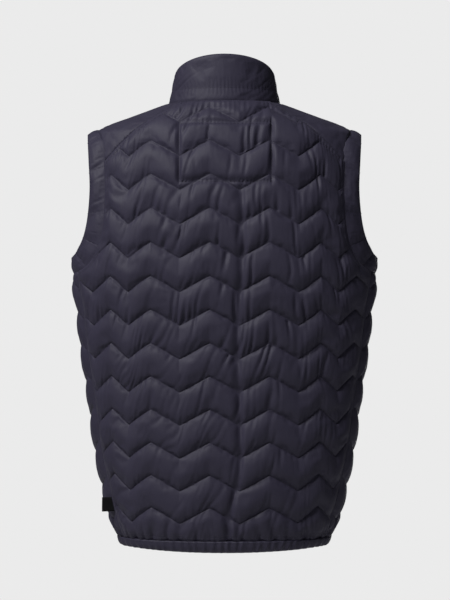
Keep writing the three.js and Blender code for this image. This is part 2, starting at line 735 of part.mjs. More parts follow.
const yokeRight = largest(
  evenForm(YOKE_WALL)
    .subtract(innerForm)
    .intersect(bodyRegion(-HALF_GAP))
    .subtract(slab(belowYokes(backYoke, HALF_GAP), -FAR, -15))
    .subtract(slab(belowYokes(frontYoke, HALF_GAP), 15, FAR))
    .subtract(boxAround(...everySide, -3 * FAR, -125))
    .subtract(plug)
    .intersect(rightHalf),
);

const frontGeometry = geometryFrom(frontRight);
const yokeGeometry = geometryFrom(yokeRight);
const bandGeometry = geometryFrom(armholeBand());

const chainTopZ = SLIDER.z - 14;
const chainBottomZ = HEM_EDGE_Z + ZIP_BOX.height + SEAM_GAP;
const tapeTopZ = COLLAR.frontTopZ - 4;
const tapeOuter = -ZIP.tapeSink;
const tapeInner = tapeOuter - ZIP.tape;
const chainInner = tapeInner - 0.2;
const tapeRight = zipStrip(ZIP.tapeFrom, ZIP.tapeTo, tapeInner, tapeOuter, chainBottomZ, tapeTopZ);
const chain = zipStrip(-ZIP.chainHalf, ZIP.chainHalf, chainInner, chainInner + ZIP.chainThick, chainBottomZ, chainTopZ);
const zipBox = zipStrip(-ZIP_BOX.half, ZIP_BOX.half, -1.5, 2.2, HEM_EDGE_Z, HEM_EDGE_Z + ZIP_BOX.height);

// The slider's frame stands on the collar's outer face at the centre front.
const sliderShare = (SLIDER.z - heightAt(0, COLLAR_FOOT.front)) / (COLLAR.frontTopZ - heightAt(0, COLLAR_FOOT.front));
const sliderY = COLLAR_FOOT.front + sliderShare * (COLLAR_TOP.front - COLLAR_FOOT.front);
const closure = new THREE.Group();
closure.position.set(0, sliderY, SLIDER.z);
closure.rotation.x = sliderLean;
closure.add(
  meshNamed("zip_slider", geometryFrom(sliderBody()), GUNMETAL),
  meshNamed("zip_pull", geometryFrom(pullBody()), GUNMETAL),
);

const vest = new THREE.Group();
vest.add(
  meshNamed("back_panel", geometryFrom(backPanel), NAVY),
  meshNamed("front_right", frontGeometry, NAVY),
  meshNamed("front_left", mirrored(frontGeometry), NAVY),
  meshNamed("yoke_right", yokeGeometry, NAVY),
  meshNamed("yoke_left", mirrored(yokeGeometry), NAVY),
  meshNamed("armhole_band_right", bandGeometry, NAVY),
  meshNamed("armhole_band_left", mirrored(bandGeometry), NAVY),
  meshNamed("collar", geometryFrom(collarSolid()), NAVY),
  meshNamed("hem_binding", geometryFrom(hemBinding()), NAVY),
  meshNamed("side_tab", geometryFrom(sideTab([geometryFrom(backForm), mirrored(geometryFrom(frontForm))])), BLACK),
  meshNamed("zip_tape_right", tapeRight, BLACK),
  meshNamed("zip_tape_left", mirrored(tapeRight), BLACK),
  meshNamed("zip_chain", chain, BLACK),
  meshNamed("zip_box", zipBox, GUNMETAL),
  closure,
);

export default vest;
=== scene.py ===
"""A chevron-quilted stand-collar vest, filled out as if worn, dressed for Blender 4.5.

Lengths are millimetres until a mesh is made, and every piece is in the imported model's frame: +Z is up,
-Y is the vest's back and the origin is the centre of the neck opening, level with the back collar seam.
"""

from __future__ import annotations

import json
import logging
import math
from collections.abc import Callable
from dataclasses import dataclass, field
from enum import Enum

import bmesh
import bpy
import numpy as np
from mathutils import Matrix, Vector
from mathutils.bvhtree import BVHTree

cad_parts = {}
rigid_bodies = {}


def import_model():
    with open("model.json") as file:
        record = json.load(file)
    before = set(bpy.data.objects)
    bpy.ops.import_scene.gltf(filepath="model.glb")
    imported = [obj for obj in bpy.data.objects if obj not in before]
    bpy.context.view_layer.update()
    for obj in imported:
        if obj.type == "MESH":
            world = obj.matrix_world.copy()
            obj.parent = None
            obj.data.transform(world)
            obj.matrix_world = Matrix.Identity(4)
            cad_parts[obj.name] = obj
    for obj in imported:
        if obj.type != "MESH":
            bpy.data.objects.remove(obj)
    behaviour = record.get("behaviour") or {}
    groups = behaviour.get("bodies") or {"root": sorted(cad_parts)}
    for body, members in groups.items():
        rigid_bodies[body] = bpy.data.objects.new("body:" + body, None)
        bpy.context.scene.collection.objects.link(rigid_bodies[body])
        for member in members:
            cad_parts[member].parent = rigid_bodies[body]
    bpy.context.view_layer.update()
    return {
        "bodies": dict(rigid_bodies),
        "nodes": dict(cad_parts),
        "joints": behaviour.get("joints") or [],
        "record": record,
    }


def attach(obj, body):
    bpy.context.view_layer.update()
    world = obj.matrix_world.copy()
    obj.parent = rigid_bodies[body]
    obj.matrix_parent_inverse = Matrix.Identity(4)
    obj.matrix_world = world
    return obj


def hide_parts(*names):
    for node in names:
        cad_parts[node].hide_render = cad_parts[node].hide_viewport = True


LOG = logging.getLogger("vest")
MM = 0.001
Array = np.ndarray
Path = tuple[Array, Array]
VEST = "vest"
PULL = "pull"


class Side(Enum):
    """Which half of the body a panel is on."""

    BACK = -1
    FRONT = 1


@dataclass(frozen=True)
class Section:
    """One level of the body: half width, depth behind and in front, and how square it is."""

    z: float
    half: float
    back: float
    front: float
    power: float


SECTIONS = (
    Section(-720, 150, 88, 89, 2.2),
    Section(-690, 154, 91, 92, 2.2),
    Section(-673, 163, 97, 98, 2.2),
    Section(-648, 172, 100, 102, 2.2),
    Section(-623, 178, 102, 105, 2.2),
    Section(-573, 189, 105, 109, 2.25),
    Section(-523, 198, 107, 113, 2.3),
    Section(-473, 204, 108, 116, 2.3),
    Section(-423, 211, 110, 119, 2.3),
    Section(-373, 218, 112, 121, 2.3),
    Section(-323, 223, 114, 122, 2.3),
    Section(-266, 231.5, 116, 122, 2.3),
    Section(-200, 226, 116, 117, 2.3),
    Section(-150, 222, 112, 108, 2.25),
    Section(-100, 217, 104, 97, 2.2),
    Section(-70, 213, 97, 88, 2.15),
    Section(-52, 206, 91, 82, 2.1),
    Section(-39, 180, 86, 78, 2.05),
    Section(-27, 147, 80, 74, 2),
    Section(-15, 114, 73, 70, 2),
    Section(-3, 84, 65, 65, 2),
    Section(12, 60, 42, 44, 2),
    Section(110, 54, 38, 40, 2),
)

SIDE_SEAM_Y = -40.0
HEM_SEAM_Z = -673.0
HEM_EDGE_Z = -690.0
UNDERARM_Z = -267.0
HALF_GAP = 0.15
ZIP_CLEAR = 5.2

BACK_YOKE_SEAM = ((40, 18), (66, -2), (100, -24), (128, -43), (155, -67), (183, -97))
FRONT_YOKE_SEAM = ((46, 10), (72, -13), (100, -36), (130, -61), (156, -84), (176, -104))


@dataclass(frozen=True)
class ArmholeRow:
    """A place round the armhole: its seam in the back or front view, and the band's free edge."""

    seam: tuple[float, float]
    edge: tuple[float, float, float]


BACK_ARMHOLE = (
    ArmholeRow((194, -46), (211, 0, -53)),
    ArmholeRow((188, -64), (209, -32, -64)),
    ArmholeRow((183, -97), (206, -53, -95)),
    ArmholeRow((181, -145), (204, -61, -140)),
    ArmholeRow((184, -198), (208, -60, -187)),
    ArmholeRow((192, -230), (214, -55, -212)),
    ArmholeRow((206, -252), (224, -41, -232)),
    ArmholeRow((222, -263), (232, -21, -241)),
    ArmholeRow((240, -267), (236, 0, -243)),
)
FRONT_ARMHOLE = (
    ArmholeRow((194, -46), (211, 0, -53)),
    ArmholeRow((186, -66), (208, 31, -66)),
    ArmholeRow((176, -104), (203, 52, -99)),
    ArmholeRow((172, -148), (199, 61, -142)),
    ArmholeRow((177, -200), (204, 62, -188)),
    ArmholeRow((188, -232), (212, 58, -213)),
    ArmholeRow((204, -253), (223, 43, -232)),
    ArmholeRow((221, -263), (232, 22, -241)),
    ArmholeRow((240, -267), (236, 0, -243)),
)


@dataclass(frozen=True)
class Egg:
    """An egg-shaped outline in plan."""

    half: float
    back: float
    front: float


COLLAR_FOOT = Egg(87, 66, 88)
COLLAR_TOP = Egg(78, 60, 76)
COLLAR_WALL = 4.0
COLLAR_FRONT_TOP_Z = 4.0
SLIDER_Z = -9.0


# Small mathematics


def bell(t: Array) -> Array:
    """A soft bump of height 1 at 0 and near 0 beyond 2."""
    return np.exp(-(t**2))


def smooth(t: Array | float) -> Array:
    """A soft step from 0 to 1."""
    s = np.clip(t, 0, 1)
    return s * s * (3 - 2 * s)


def monotone(keys: Array, values: Array, at: Array) -> Array:
    """A smooth curve through values that never overshoots them.

    Args:
        keys: rising positions of the values.
        values: what the curve passes through.
        at: where it is wanted.

    Returns:
        The curve's value at each place.
    """
    slope = np.diff(values) / np.diff(keys)
    inner = np.zeros(len(keys) - 2)
    same = slope[:-1] * slope[1:] > 0
    inner[same] = 2 * slope[:-1][same] * slope[1:][same] / (slope[:-1] + slope[1:])[same]
    tangent = np.concatenate([[slope[0]], inner, [slope[-1]]])
    place = np.clip(at, keys[0], keys[-1])
    i = np.clip(np.searchsorted(keys, place, side="right") - 1, 0, len(keys) - 2)
    h = keys[i + 1] - keys[i]
    t = (place - keys[i]) / h
    bend = h * t * (1 - t) * (tangent[i] * (1 - t) - tangent[i + 1] * t)
    return values[i] + (values[i + 1] - values[i]) * t * t * (3 - 2 * t) + bend


def spline(points: Array, closed: bool, at: Array) -> Array:
    """A smooth centripetal curve through points.

    Args:
        points: the points, one row each.
        closed: whether the last joins the first.
        at: parameters from 0 to 1, even in the points' count.

    Returns:
        One point for each parameter.
    """
    count = len(points)
    spans = count if closed else count - 1
    place = at * spans
    i = np.floor(place).astype(int)
    if not closed:
        i = np.minimum(i, spans - 1)
    t = (place - i)[:, None]
    if closed:
        p0, p1, p2, p3 = (points[(i + k) % count] for k in (-1, 0, 1, 2))
    else:
        ends = np.vstack([2 * points[0] - points[1], points, 2 * points[-1] - points[-2]])
        p0, p1, p2, p3 = (ends[i + k] for k in (0, 1, 2, 3))
    d0, d1, d2 = (
        np.maximum(np.sqrt(np.linalg.norm(b - a, axis=1)), 1e-2)[:, None]
        for a, b in ((p0, p1), (p1, p2), (p2, p3))
    )
    t1 = ((p1 - p0) / d0 - (p2 - p0) / (d0 + d1) + (p2 - p1) / d1) * d1
    t2 = ((p2 - p1) / d1 - (p3 - p1) / (d1 + d2) + (p3 - p2) / d2) * d1
    c2 = -3 * p1 + 3 * p2 - 2 * t1 - t2
    c3 = 2 * p1 - 2 * p2 + t1 + t2
    return p1 + t1 * t + c2 * t * t + c3 * t**3


def length_along(path: Array) -> Array:
    """The distance along a path to each of its points."""
    return np.concatenate([[0], np.cumsum(np.linalg.norm(np.diff(path, axis=0), axis=1))])


def evenly(path: Array, count: int) -> Array:
    """Evenly spaced places along a path.

    Args:
        path: its points, one row each.
        count: how many places.

    Returns:
        One point for each place.
    """
    length = length_along(path)
    at = np.linspace(0, length[-1], count)
    return np.stack([np.interp(at, length, path[:, k]) for k in range(path.shape[1])], axis=1)


def side_of_path(path: Array, x: Array, z: Array) -> Array:
    """The distance to a path, positive on the left of its direction and negative on its right.

    Args:
        path: its points, one row of x and z each.
        x: the places' x.
        z: the places' z.

    Returns:
        The distance of each place.
    """
    best = np.full(np.shape(x), np.inf)
    sign = np.ones(np.shape(x))
    for a, b in zip(path[:-1], path[1:]):
        d = b - a
        t = np.clip(((x - a[0]) * d[0] + (z - a[1]) * d[1]) / (d @ d), 0, 1)
        away = np.hypot(x - a[0] - t * d[0], z - a[1] - t * d[1])
        nearer = away < best - 1e-9
        best = np.where(nearer, away, best)
        sign = np.where(nearer, np.sign(d[0] * (z - a[1]) - d[1] * (x - a[0])), sign)
    return best * sign


def unit(v: Array) -> Array:
    """Each row at length one."""
    return v / np.maximum(np.linalg.norm(v, axis=-1, keepdims=True), 1e-12)


def ripple(p: Array, scale: float, seed: int) -> Array:
    """Soft random waves from -1 to 1, the same every time.

    Args:
        p: places, one row each, in millimetres.
        scale: the waves' typical length in millimetres.
        seed: which set of waves.

    Returns:
        The height at each place.
    """
    rng = np.random.default_rng(seed)
    total = np.zeros(p.shape[:-1])
    for _ in range(7):
        turn = unit(rng.normal(size=p.shape[-1])) * (2 * math.pi / scale) * rng.uniform(0.6, 1.6)
        total = total + np.sin(p @ turn + rng.uniform(0, 2 * math.pi))
    return total / 4.2


def scatter(n: Array, seed: int) -> Array:
    """An unrelated number from 0 to 1 for each whole number."""
    return np.modf(np.abs(np.sin(n * 12.9898 + seed * 78.233)) * 43758.5453)[0]


def some_folds(place: Array, width: float, seed: int, soft: float) -> Array:
    """Narrow folds one unit apart, some of them left out.

    Args:
        place: places, counted in folds.
        width: half the width of a fold, as a share of their spacing.
        seed: which folds are left out.
        soft: how gradually folds fade from none to full, as a share of them all.

    Returns:
        Each place's depth, from 0 to 1.
    """
    number = np.round(place)
    return bell((place - number) / width) * smooth((scatter(number, seed) - 0.3) / soft)


# The body's form


class BodyForm:
    """The inside of the cloth: a ring at each level, measured by the distance round it from the centre
    back, positive towards +X."""

    STEPS = 180

    def __init__(self, sections: tuple[Section, ...]) -> None:
        """Works out a fine table of rings.

        Args:
            sections: the levels, from the lowest.
        """
        self.z = np.arange(-760.0, 111.0, 1.0)
        keys = np.array([s.z for s in sections], float)
        name = ("half", "back", "front", "power")
        self.half, self.back, self.front, self.power = (
            monotone(keys, np.array([getattr(s, n) for s in sections], float), self.z) for n in name
        )
        angle = np.linspace(0, math.pi, self.STEPS + 1)
        x, y = self._ring(self.z[:, None], angle[None, :])
        way = np.hypot(np.diff(x, axis=1), np.diff(y, axis=1))
        self.length = np.concatenate([np.zeros((len(self.z), 1)), np.cumsum(way, axis=1)], axis=1)

    def at(self, table: Array, z: Array) -> Array:
        """A table's value at each height."""
        return np.interp(z, self.z, table)

    def _ring(self, z: Array, angle: Array) -> tuple[Array, Array]:
        """The ring's x and y.

        Args:
            z: heights.
            angle: angles round the ring, 0 at the centre back.

        Returns:
            The x and the y of each.
        """
        bulge = 2 / self.at(self.power, z)
        c, s = np.cos(angle), np.sin(angle)
        depth = np.where(c > 0, self.at(self.back, z), self.at(self.front, z))
        x = self.at(self.half, z) * np.sign(s) * np.abs(s) ** bulge
        return x, -depth * np.sign(c) * np.abs(c) ** bulge

    def half_girth(self, z: Array) -> Array:
        """Half the distance round each level."""
        return self.at(self.length[:, -1], z)

    def point(self, z: Array, arc: Array) -> Array:
        """Points of the form.

        Args:
            z: their heights.
            arc: their distances round from the centre back.

        Returns:
            One row of x, y and z for each.
        """
        z, arc = np.broadcast_arrays(np.asarray(z, float), np.asarray(arc, float))
        shape, z, arc = z.shape, z.ravel(), arc.ravel()
        place = np.clip(z - self.z[0], 0, len(self.z) - 1.001)
        low = place.astype(int)
        share = (place - low)[:, None]
        lengths = self.length[low] * (1 - share) + self.length[low + 1] * share
        girth = 2 * lengths[:, -1]
        arc = arc - girth * np.round(arc / girth)
        way = np.abs(arc)
        i = np.clip((lengths < way[:, None]).sum(axis=1), 1, self.STEPS)
        rows = np.arange(len(z))
        t = (way - lengths[rows, i - 1]) / (lengths[rows, i] - lengths[rows, i - 1])
        angle = np.where(arc < 0, -1, 1) * math.pi * (i - 1 + t) / self.STEPS
        x, y = self._ring(z, angle)
        return np.stack([x, y, z], axis=1).reshape(*shape, 3)

    def normal(self, z: Array, arc: Array) -> Array:
        """Outward directions of the form.

        Args:
            z: heights.
            arc: distances round from the centre back.

        Returns:
            One direction for each place.
        """
        along = self.point(z, arc + 1.2) - self.point(z, arc - 1.2)
        part = arc / self.half_girth(z)
        above, below = (self.point(level, part * self.half_girth(level)) for level in (z + 0.7, z - 0.7))
        return unit(np.cross(along, above - below))

    def depth(self, x: Array, z: Array, side: Side) -> Array:
        """The form's y where the back or the front view shows it.

        Args:
            x: places across.
            z: heights.
            side: the view.

        Returns:
            The y of each place.
        """
        bulge = self.at(self.power, z)
        across = np.clip(np.abs(x) / self.at(self.half, z), 0, 1)
        deep = self.at(self.back if side is Side.BACK else self.front, z)
        return side.value * deep * (1 - across**bulge) ** (1 / bulge)

    def height(self, x: Array, y: Array) -> Array:
        """The form's z over places in plan, near the shoulders and neck, by halving the range.

        Args:
            x: places across.
            y: places forward.

        Returns:
            The z of each place.
        """
        low = np.full(np.shape(x), UNDERARM_Z)
        high = np.full(np.shape(x), 12.0)
        for _ in range(34):
            middle = (low + high) / 2
            bulge = self.at(self.power, middle)
            deep = np.where(np.asarray(y) < 0, self.at(self.back, middle), self.at(self.front, middle))
            reach = np.abs(x / self.at(self.half, middle)) ** bulge + np.abs(y / deep) ** bulge
            low = np.where(reach < 1, middle, low)
            high = np.where(reach < 1, high, middle)
        return low


FORM = BodyForm(SECTIONS)


def outline_point(egg: Egg, angle: Array, grown: float | Array = 0.0) -> Array:
    """Points of an egg-shaped outline in plan, angle 0 at the centre back."""
    depth = np.where(np.cos(angle) > 0, egg.back, egg.front)
    return np.stack([(egg.half + grown) * np.sin(angle), -(depth + grown) * np.cos(angle)], axis=-1)


def to_neck(x: Array, y: Array) -> Array:
    """How far places lie outside the collar's foot in plan.

    Args:
        x: places across.
        y: places forward.

    Returns:
        The distance, negative inside.
    """
    deep = np.where(y < 0, COLLAR_FOOT.back, COLLAR_FOOT.front)
    reach = np.maximum(np.hypot(x / COLLAR_FOOT.half, y / deep), 1e-6)
    return np.hypot(x, y) * (1 - 1 / reach)


class Seams:
    """The seam lines between the panels, as the back and front views show them."""

    def __init__(self) -> None:
        """Draws each seam once, with its ends run on past the panels."""
        self.yoke = {
            Side.BACK: self._yoke(BACK_YOKE_SEAM),
            Side.FRONT: self._yoke(FRONT_YOKE_SEAM),
        }
        self.armhole = {
            Side.BACK: self._armhole(BACK_ARMHOLE),
            Side.FRONT: self._armhole(FRONT_ARMHOLE),
        }

    @staticmethod
    def _yoke(points: tuple[tuple[float, float], ...]) -> Array:
        """A yoke seam from the neck outwards."""
        path = evenly(spline(np.array(points, float), False, np.linspace(0, 1, 600)), 40)
        return np.vstack([[0, path[0, 1]], path, [path[-1] + (217, -60)]])

    @staticmethod
    def _armhole(rows: tuple[ArmholeRow, ...]) -> Array:
        """An armhole seam from the shoulder down."""
        path = evenly(spline(np.array([r.seam for r in rows], float), False, np.linspace(0, 1, 600)), 60)
        return np.vstack([[path[0, 0], 200], path, [400, path[-1, 1]]])

    def below_yoke(self, p: Array, side: Side) -> Array:
        """How far points lie below a yoke seam."""
        return -side_of_path(self.yoke[side], np.abs(p[..., 0]), p[..., 2])

    def in_armhole(self, p: Array, side: Side) -> Array:
        """How far points lie inside an armhole seam, on the body's side."""
        return -side_of_path(self.armhole[side], np.abs(p[..., 0]), p[..., 2])


SEAMS = Seams()


# Meshes


def new_mesh(name: str, points: Array, faces: list | Array) -> bpy.types.Mesh:
    """A mesh from millimetre points.

    Args:
        name: its name.
        points: one row each, in millimetres.
        faces: lists of point numbers.

    Returns:
        The mesh, shaded smooth.
    """
    mesh = bpy.data.meshes.new(name)
    mesh.from_pydata((np.asarray(points) * MM).tolist(), [], [list(map(int, f)) for f in faces])
    mesh.polygons.foreach_set("use_smooth", [True] * len(mesh.polygons))
    mesh.update()
    return mesh


def new_object(name: str, mesh: bpy.types.ID) -> bpy.types.Object:
    """An object in the scene.

    Args:
        name: its name.
        mesh: its mesh or other data.

    Returns:
        The object.
    """
    made = bpy.data.objects.new(name, mesh)
    bpy.context.scene.collection.objects.link(made)
    return made


def grid_faces(rows: int, columns: int, wrap: bool = False) -> Array:
    """Quads of a grid stored row by row, facing the side from which rows run up and columns right.

    Args:
        rows: how many rows of points.
        columns: how many points in each.
        wrap: whether the last column joins the first.

    Returns:
        Four point numbers for each quad.
    """
    r, c = np.meshgrid(np.arange(rows - 1), np.arange(columns if wrap else columns - 1), indexing="ij")
    right = (c + 1) % columns
    below, above = r * columns, (r + 1) * columns
    return np.stack([below + c, below + right, above + right, above + c], -1).reshape(-1, 4)


def border_of(faces: Array) -> Array:
    """The directed edges that only one face has.

    Args:
        faces: four point numbers for each quad.

    Returns:
        Two point numbers for each edge.
    """
    edges = np.concatenate([faces[:, [k, (k + 1) % 4]] for k in range(4)])
    size = int(edges.max()) + 1
    key, back = edges[:, 0] * size + edges[:, 1], edges[:, 1] * size + edges[:, 0]
    return edges[~np.isin(key, back)]


@dataclass
class Sheet:
    """A piece of cloth as quads: where each point lies on the form, and which points its edge has."""

    u: Array
    v: Array
    faces: Array
    edge: Array


def cut_sheet(
    u_axis: Array,
    v_axis: Array,
    place: Callable[[Array, Array], Array],
    inside: Callable[[Array], Array],
    unit_v: float = 1.0,
) -> Sheet:
    """Cuts a piece of cloth out of an even grid, with its edge pulled on to its seams.

    Args:
        u_axis: grid places round the body, in millimetres.
        v_axis: grid places down it, in millimetres.
        place: gives points of the form for u and v.
        inside: gives each point's distance inside the seams.
        unit_v: the millimetres in one unit of v.

    Returns:
        The cut sheet.
    """
    u, v = (a.ravel() for a in np.meshgrid(u_axis, v_axis))
    quads = grid_faces(len(v_axis), len(u_axis))[:, ::-1]
    within = inside(place(u, v))
    quads = quads[within[quads].mean(axis=1) > 0]
    uses = np.bincount(quads.ravel(), minlength=len(u))
    quads = quads[(uses[quads] > 1).any(axis=1)]
    kept, numbers = np.unique(quads, return_inverse=True)
    quads = numbers.reshape(quads.shape)
    u, v = u[kept], v[kept]
    edge = np.zeros(len(u), bool)
    edge[np.unique(border_of(quads))] = True
    eu, ev = u[edge].copy(), v[edge].copy()
    nudge = 0.4
    most_u = 1.2 * np.abs(np.diff(u_axis)).max()
    most_v = 1.2 * np.abs(np.diff(v_axis)).max()
    start_u, start_v = eu.copy(), ev.copy()
    for _ in range(8):
        d = inside(place(eu, ev))
        gu = (inside(place(eu + nudge, ev)) - inside(place(eu - nudge, ev))) / (2 * nudge)
        over = inside(place(eu, ev + nudge / unit_v))
        gv = (over - inside(place(eu, ev - nudge / unit_v))) / (2 * nudge)
        size = np.maximum(gu**2 + gv**2, 0.08)
        eu = np.clip(eu - 0.8 * d * gu / size, start_u - most_u, start_u + most_u)
        ev = np.clip(ev - 0.8 * d * gv / size / unit_v, start_v - most_v, start_v + most_v)
    u[edge], v[edge] = eu, ev
    return Sheet(u, v, quads, edge)


@dataclass(frozen=True)
class Fill:
    """How padding fills a stitched sheet: its pressure, the cloth's ease and stiffness, and the most
    that a point may move, in millimetres."""

    pressure: float = 1.6
    ease: float = 0.012
    tension: float = 15.0
    bending: float = 0.08
    frames: int = 18
    cap: float = 1.8
    quality: int = 5


def inflate(points: Array, faces: Array, held: Array, fill: Fill) -> Array:
    """Blows padding into a stitched sheet by cloth simulation.

    Args:
        points: the sheet at rest, in millimetres.
        faces: its quads, pointing out.
        held: which points the stitching holds.
        fill: how the padding acts.

    Returns:
        The points after the padding has filled it.
    """
    blown = new_object("blown", new_mesh("blown", points, faces))
    group = blown.vertex_groups.new(name="held")
    group.add([int(i) for i in np.flatnonzero(held)], 1.0, "REPLACE")
    modifier = blown.modifiers.new("Cloth", "CLOTH")
    cloth = modifier.settings
    cloth.quality = fill.quality
    cloth.mass = 0.15
    cloth.tension_stiffness = fill.tension
    cloth.compression_stiffness = fill.tension
    cloth.shear_stiffness = fill.tension * 0.4
    cloth.bending_stiffness = fill.bending
    cloth.tension_damping = cloth.compression_damping = cloth.shear_damping = 5
    cloth.air_damping = 3
    cloth.use_pressure = True
    cloth.uniform_pressure_force = fill.pressure
    cloth.shrink_min = -fill.ease
    cloth.vertex_group_mass = "held"
    cloth.pin_stiffness = 1
    cloth.effector_weights.gravity = 0
    modifier.point_cache.frame_start, modifier.point_cache.frame_end = 1, fill.frames
    scene = bpy.context.scene
    for frame in range(1, fill.frames + 1):
        scene.frame_set(frame)
    seen = blown.evaluated_get(bpy.context.evaluated_depsgraph_get())
    flat = np.empty(3 * len(points))
    seen.data.vertices.foreach_get("co", flat)
    scene.frame_set(1)
    mesh = blown.data
    bpy.data.objects.remove(blown)
    bpy.data.meshes.remove(mesh)
    moved = flat.reshape(-1, 3) / MM - points
    size = np.linalg.norm(moved, axis=1, keepdims=True)
    return points + moved * np.minimum(1, fill.cap / np.maximum(size, 1e-9))


# Materials


def node(
    tree: bpy.types.NodeTree,
    kind: str,
    inputs: dict[str | int, object] | None = None,
    **settings: object,
) -> bpy.types.Node:
    """Adds a node.

    Args:
        tree: where it goes.
        kind: its type's identifier.
        inputs: a value, or a socket to link from, for each named or numbered input.
        **settings: its own properties.

    Returns:
        The node.
    """
    made = tree.nodes.new(kind)
    for name, value in settings.items():
        setattr(made, name, value)
    for socket, value in (inputs or {}).items():
        if isinstance(value, bpy.types.NodeSocket):
            tree.links.new(value, made.inputs[socket])
        else:
            made.inputs[socket].default_value = value
    return made


def linear(hex_colour: str) -> tuple[float, float, float, float]:
    """A linear colour from an sRGB hex value."""
    parts = [int(hex_colour[i : i + 2], 16) / 255 for i in (1, 3, 5)]
    return (*(p / 12.92 if p <= 0.04045 else ((p + 0.055) / 1.055) ** 2.4 for p in parts), 1.0)


def blank_material(name: str) -> bpy.types.Material:
    """A material with no nodes yet.

    Args:
        name: its name.

    Returns:
        The material.
    """
    material = bpy.data.materials.new(name)
    material.use_nodes = True
    material.node_tree.nodes.clear()
    return material


def times(tree: bpy.types.NodeTree, a: bpy.types.NodeSocket, b: object) -> bpy.types.NodeSocket:
    """Two numbers multiplied."""
    return node(tree, "ShaderNodeMath", {0: a, 1: b}, operation="MULTIPLY").outputs[0]


def between(
    tree: bpy.types.NodeTree, number: bpy.types.NodeSocket, *stops: tuple[float, str]
) -> bpy.types.NodeSocket:
    """A colour between two, by a number.

    Args:
        tree: where the node goes.
        number: what chooses the colour.
        *stops: the number's value and the hex colour at each end.

    Returns:
        The colour.
    """
    ramp = node(tree, "ShaderNodeValToRGB", {"Fac": number})
    for element, (place, colour) in zip(ramp.color_ramp.elements, stops):
        element.position = place
        element.color = linear(colour)
    return ramp.outputs["Color"]


def uneven(
    tree: bpy.types.NodeTree, number: bpy.types.NodeSocket, middle: float, spread: float
) -> bpy.types.NodeSocket:
    """A value that varies a little each way as a number does."""
    ends = {"Value": number, 3: middle - spread, 4: middle + spread}
    return node(tree, "ShaderNodeMapRange", ends).outputs[0]


def raised(
    tree: bpy.types.NodeTree, height: bpy.types.NodeSocket, deep_mm: float, under: object = None
) -> bpy.types.NodeSocket:
    """A normal for fine relief.

    Args:
        tree: where the node goes.
        height: the relief.
        deep_mm: its depth in millimetres.
        under: the normal that it lies on, if not the surface's own.

    Returns:
        The normal.
    """
    inputs = {"Height": height, "Distance": deep_mm * MM, "Strength": 1.0}
    return node(tree, "ShaderNodeBump", inputs | ({"Normal": under} if under else {})).outputs[0]


def end_in_shader(tree: bpy.types.NodeTree, inputs: dict[str, object]) -> None:
    """Ends a material in one shader.

    Args:
        tree: the material's nodes.
        inputs: the shader's values or sockets by name.
    """
    shader = node(tree, "ShaderNodeBsdfPrincipled", inputs)
    node(tree, "ShaderNodeOutputMaterial", {"Surface": shader.outputs[0]})


@dataclass(frozen=True)
class Cloth:
    """A woven cloth: its colours, its shine, and the threads and creases that the light catches."""

    name: str
    dark: str
    light: str
    roughness: float = 0.5
    specular: float = 0.35
    sheen: float = 0.15
    sheen_tint: str = "#8e8ba0"
    thread_mm: float = 0.9
    thread_depth_mm: float = 0.03
    crease_mm: float = 7.0
    crease_depth_mm: float = 0.35
    crease_stretch: float = 3.0

    def make(self) -> bpy.types.Material:
        """Builds the material on the piece's own UV map, whose unit is a metre of cloth.

        Returns:
            The material.
        """
        material = blank_material(self.name)
        tree = material.node_tree
        flat = node(tree, "ShaderNodeUVMap", uv_map="cloth").outputs["UV"]
        # Creases run down the cloth, so their noise is stretched that way.
        size = 1 / (self.crease_mm * MM)
        scale = (size, size / self.crease_stretch, size)
        along = node(tree, "ShaderNodeMapping", {"Vector": flat, "Scale": scale})
        grain = {"Vector": along.outputs[0], "Scale": 1.0, "Detail": 3.0, "Roughness": 0.5}
        creases = node(tree, "ShaderNodeTexNoise", grain, noise_dimensions="2D")
        # A wave of scale 1 has a period of 2 pi / 20, so this scale gives one wave a thread pair. Real
        # threads are near 0.2 mm, too fine to show, so they are drawn coarser.
        wave = {"Vector": flat, "Scale": 2 * math.pi / 20 / (self.thread_mm * MM), "Distortion": 0.0}
        warp, weft = (node(tree, "ShaderNodeTexWave", wave, bands_direction=way) for way in ("X", "Y"))
        threads = times(tree, warp.outputs["Fac"], weft.outputs["Fac"])
        spots = {"Vector": flat, "Scale": 11.0, "Detail": 4.0}
        blotches = node(tree, "ShaderNodeTexNoise", spots, noise_dimensions="2D").outputs["Fac"]
        tone = times(tree, blotches, threads)
        soft = raised(tree, creases.outputs["Fac"], self.crease_depth_mm)
        shader = {
            "Base Color": between(tree, tone, (0.05, self.dark), (0.5, self.light)),
            "Roughness": uneven(tree, blotches, self.roughness, 0.05),
            "Specular IOR Level": self.specular,
            "Sheen Weight": self.sheen,
            "Sheen Roughness": 0.4,
            "Sheen Tint": linear(self.sheen_tint),
            "Normal": raised(tree, threads, self.thread_depth_mm, soft),
        }
        end_in_shader(tree, shader)
        return material


@dataclass(frozen=True)
class Cast:
    """A cast or moulded finish: colour, shine and the fine grain of its surface."""

    name: str
    dark: str
    light: str
    roughness: float
    metallic: float = 0.0
    grain_mm: float = 0.4
    grain_depth_mm: float = 0.012

    def make(self) -> bpy.types.Material:
        """Builds the material on object coordinates.

        Returns:
            The material.
        """
        material = blank_material(self.name)
        tree = material.node_tree
        place = node(tree, "ShaderNodeTexCoord").outputs["Object"]
        spots = {"Vector": place, "Scale": 220.0, "Detail": 3.0}
        wear = node(tree, "ShaderNodeTexNoise", spots).outputs["Fac"]
        grain = node(tree, "ShaderNodeTexNoise", {"Vector": place, "Scale": 1 / (self.grain_mm * MM)})
        shader = {
            "Base Color": between(tree, wear, (0.35, self.dark), (0.7, self.light)),
            "Roughness": uneven(tree, wear, self.roughness, 0.08),
            "Metallic": self.metallic,
            "Normal": raised(tree, grain.outputs["Fac"], self.grain_depth_mm),
        }
        end_in_shader(tree, shader)
        return material


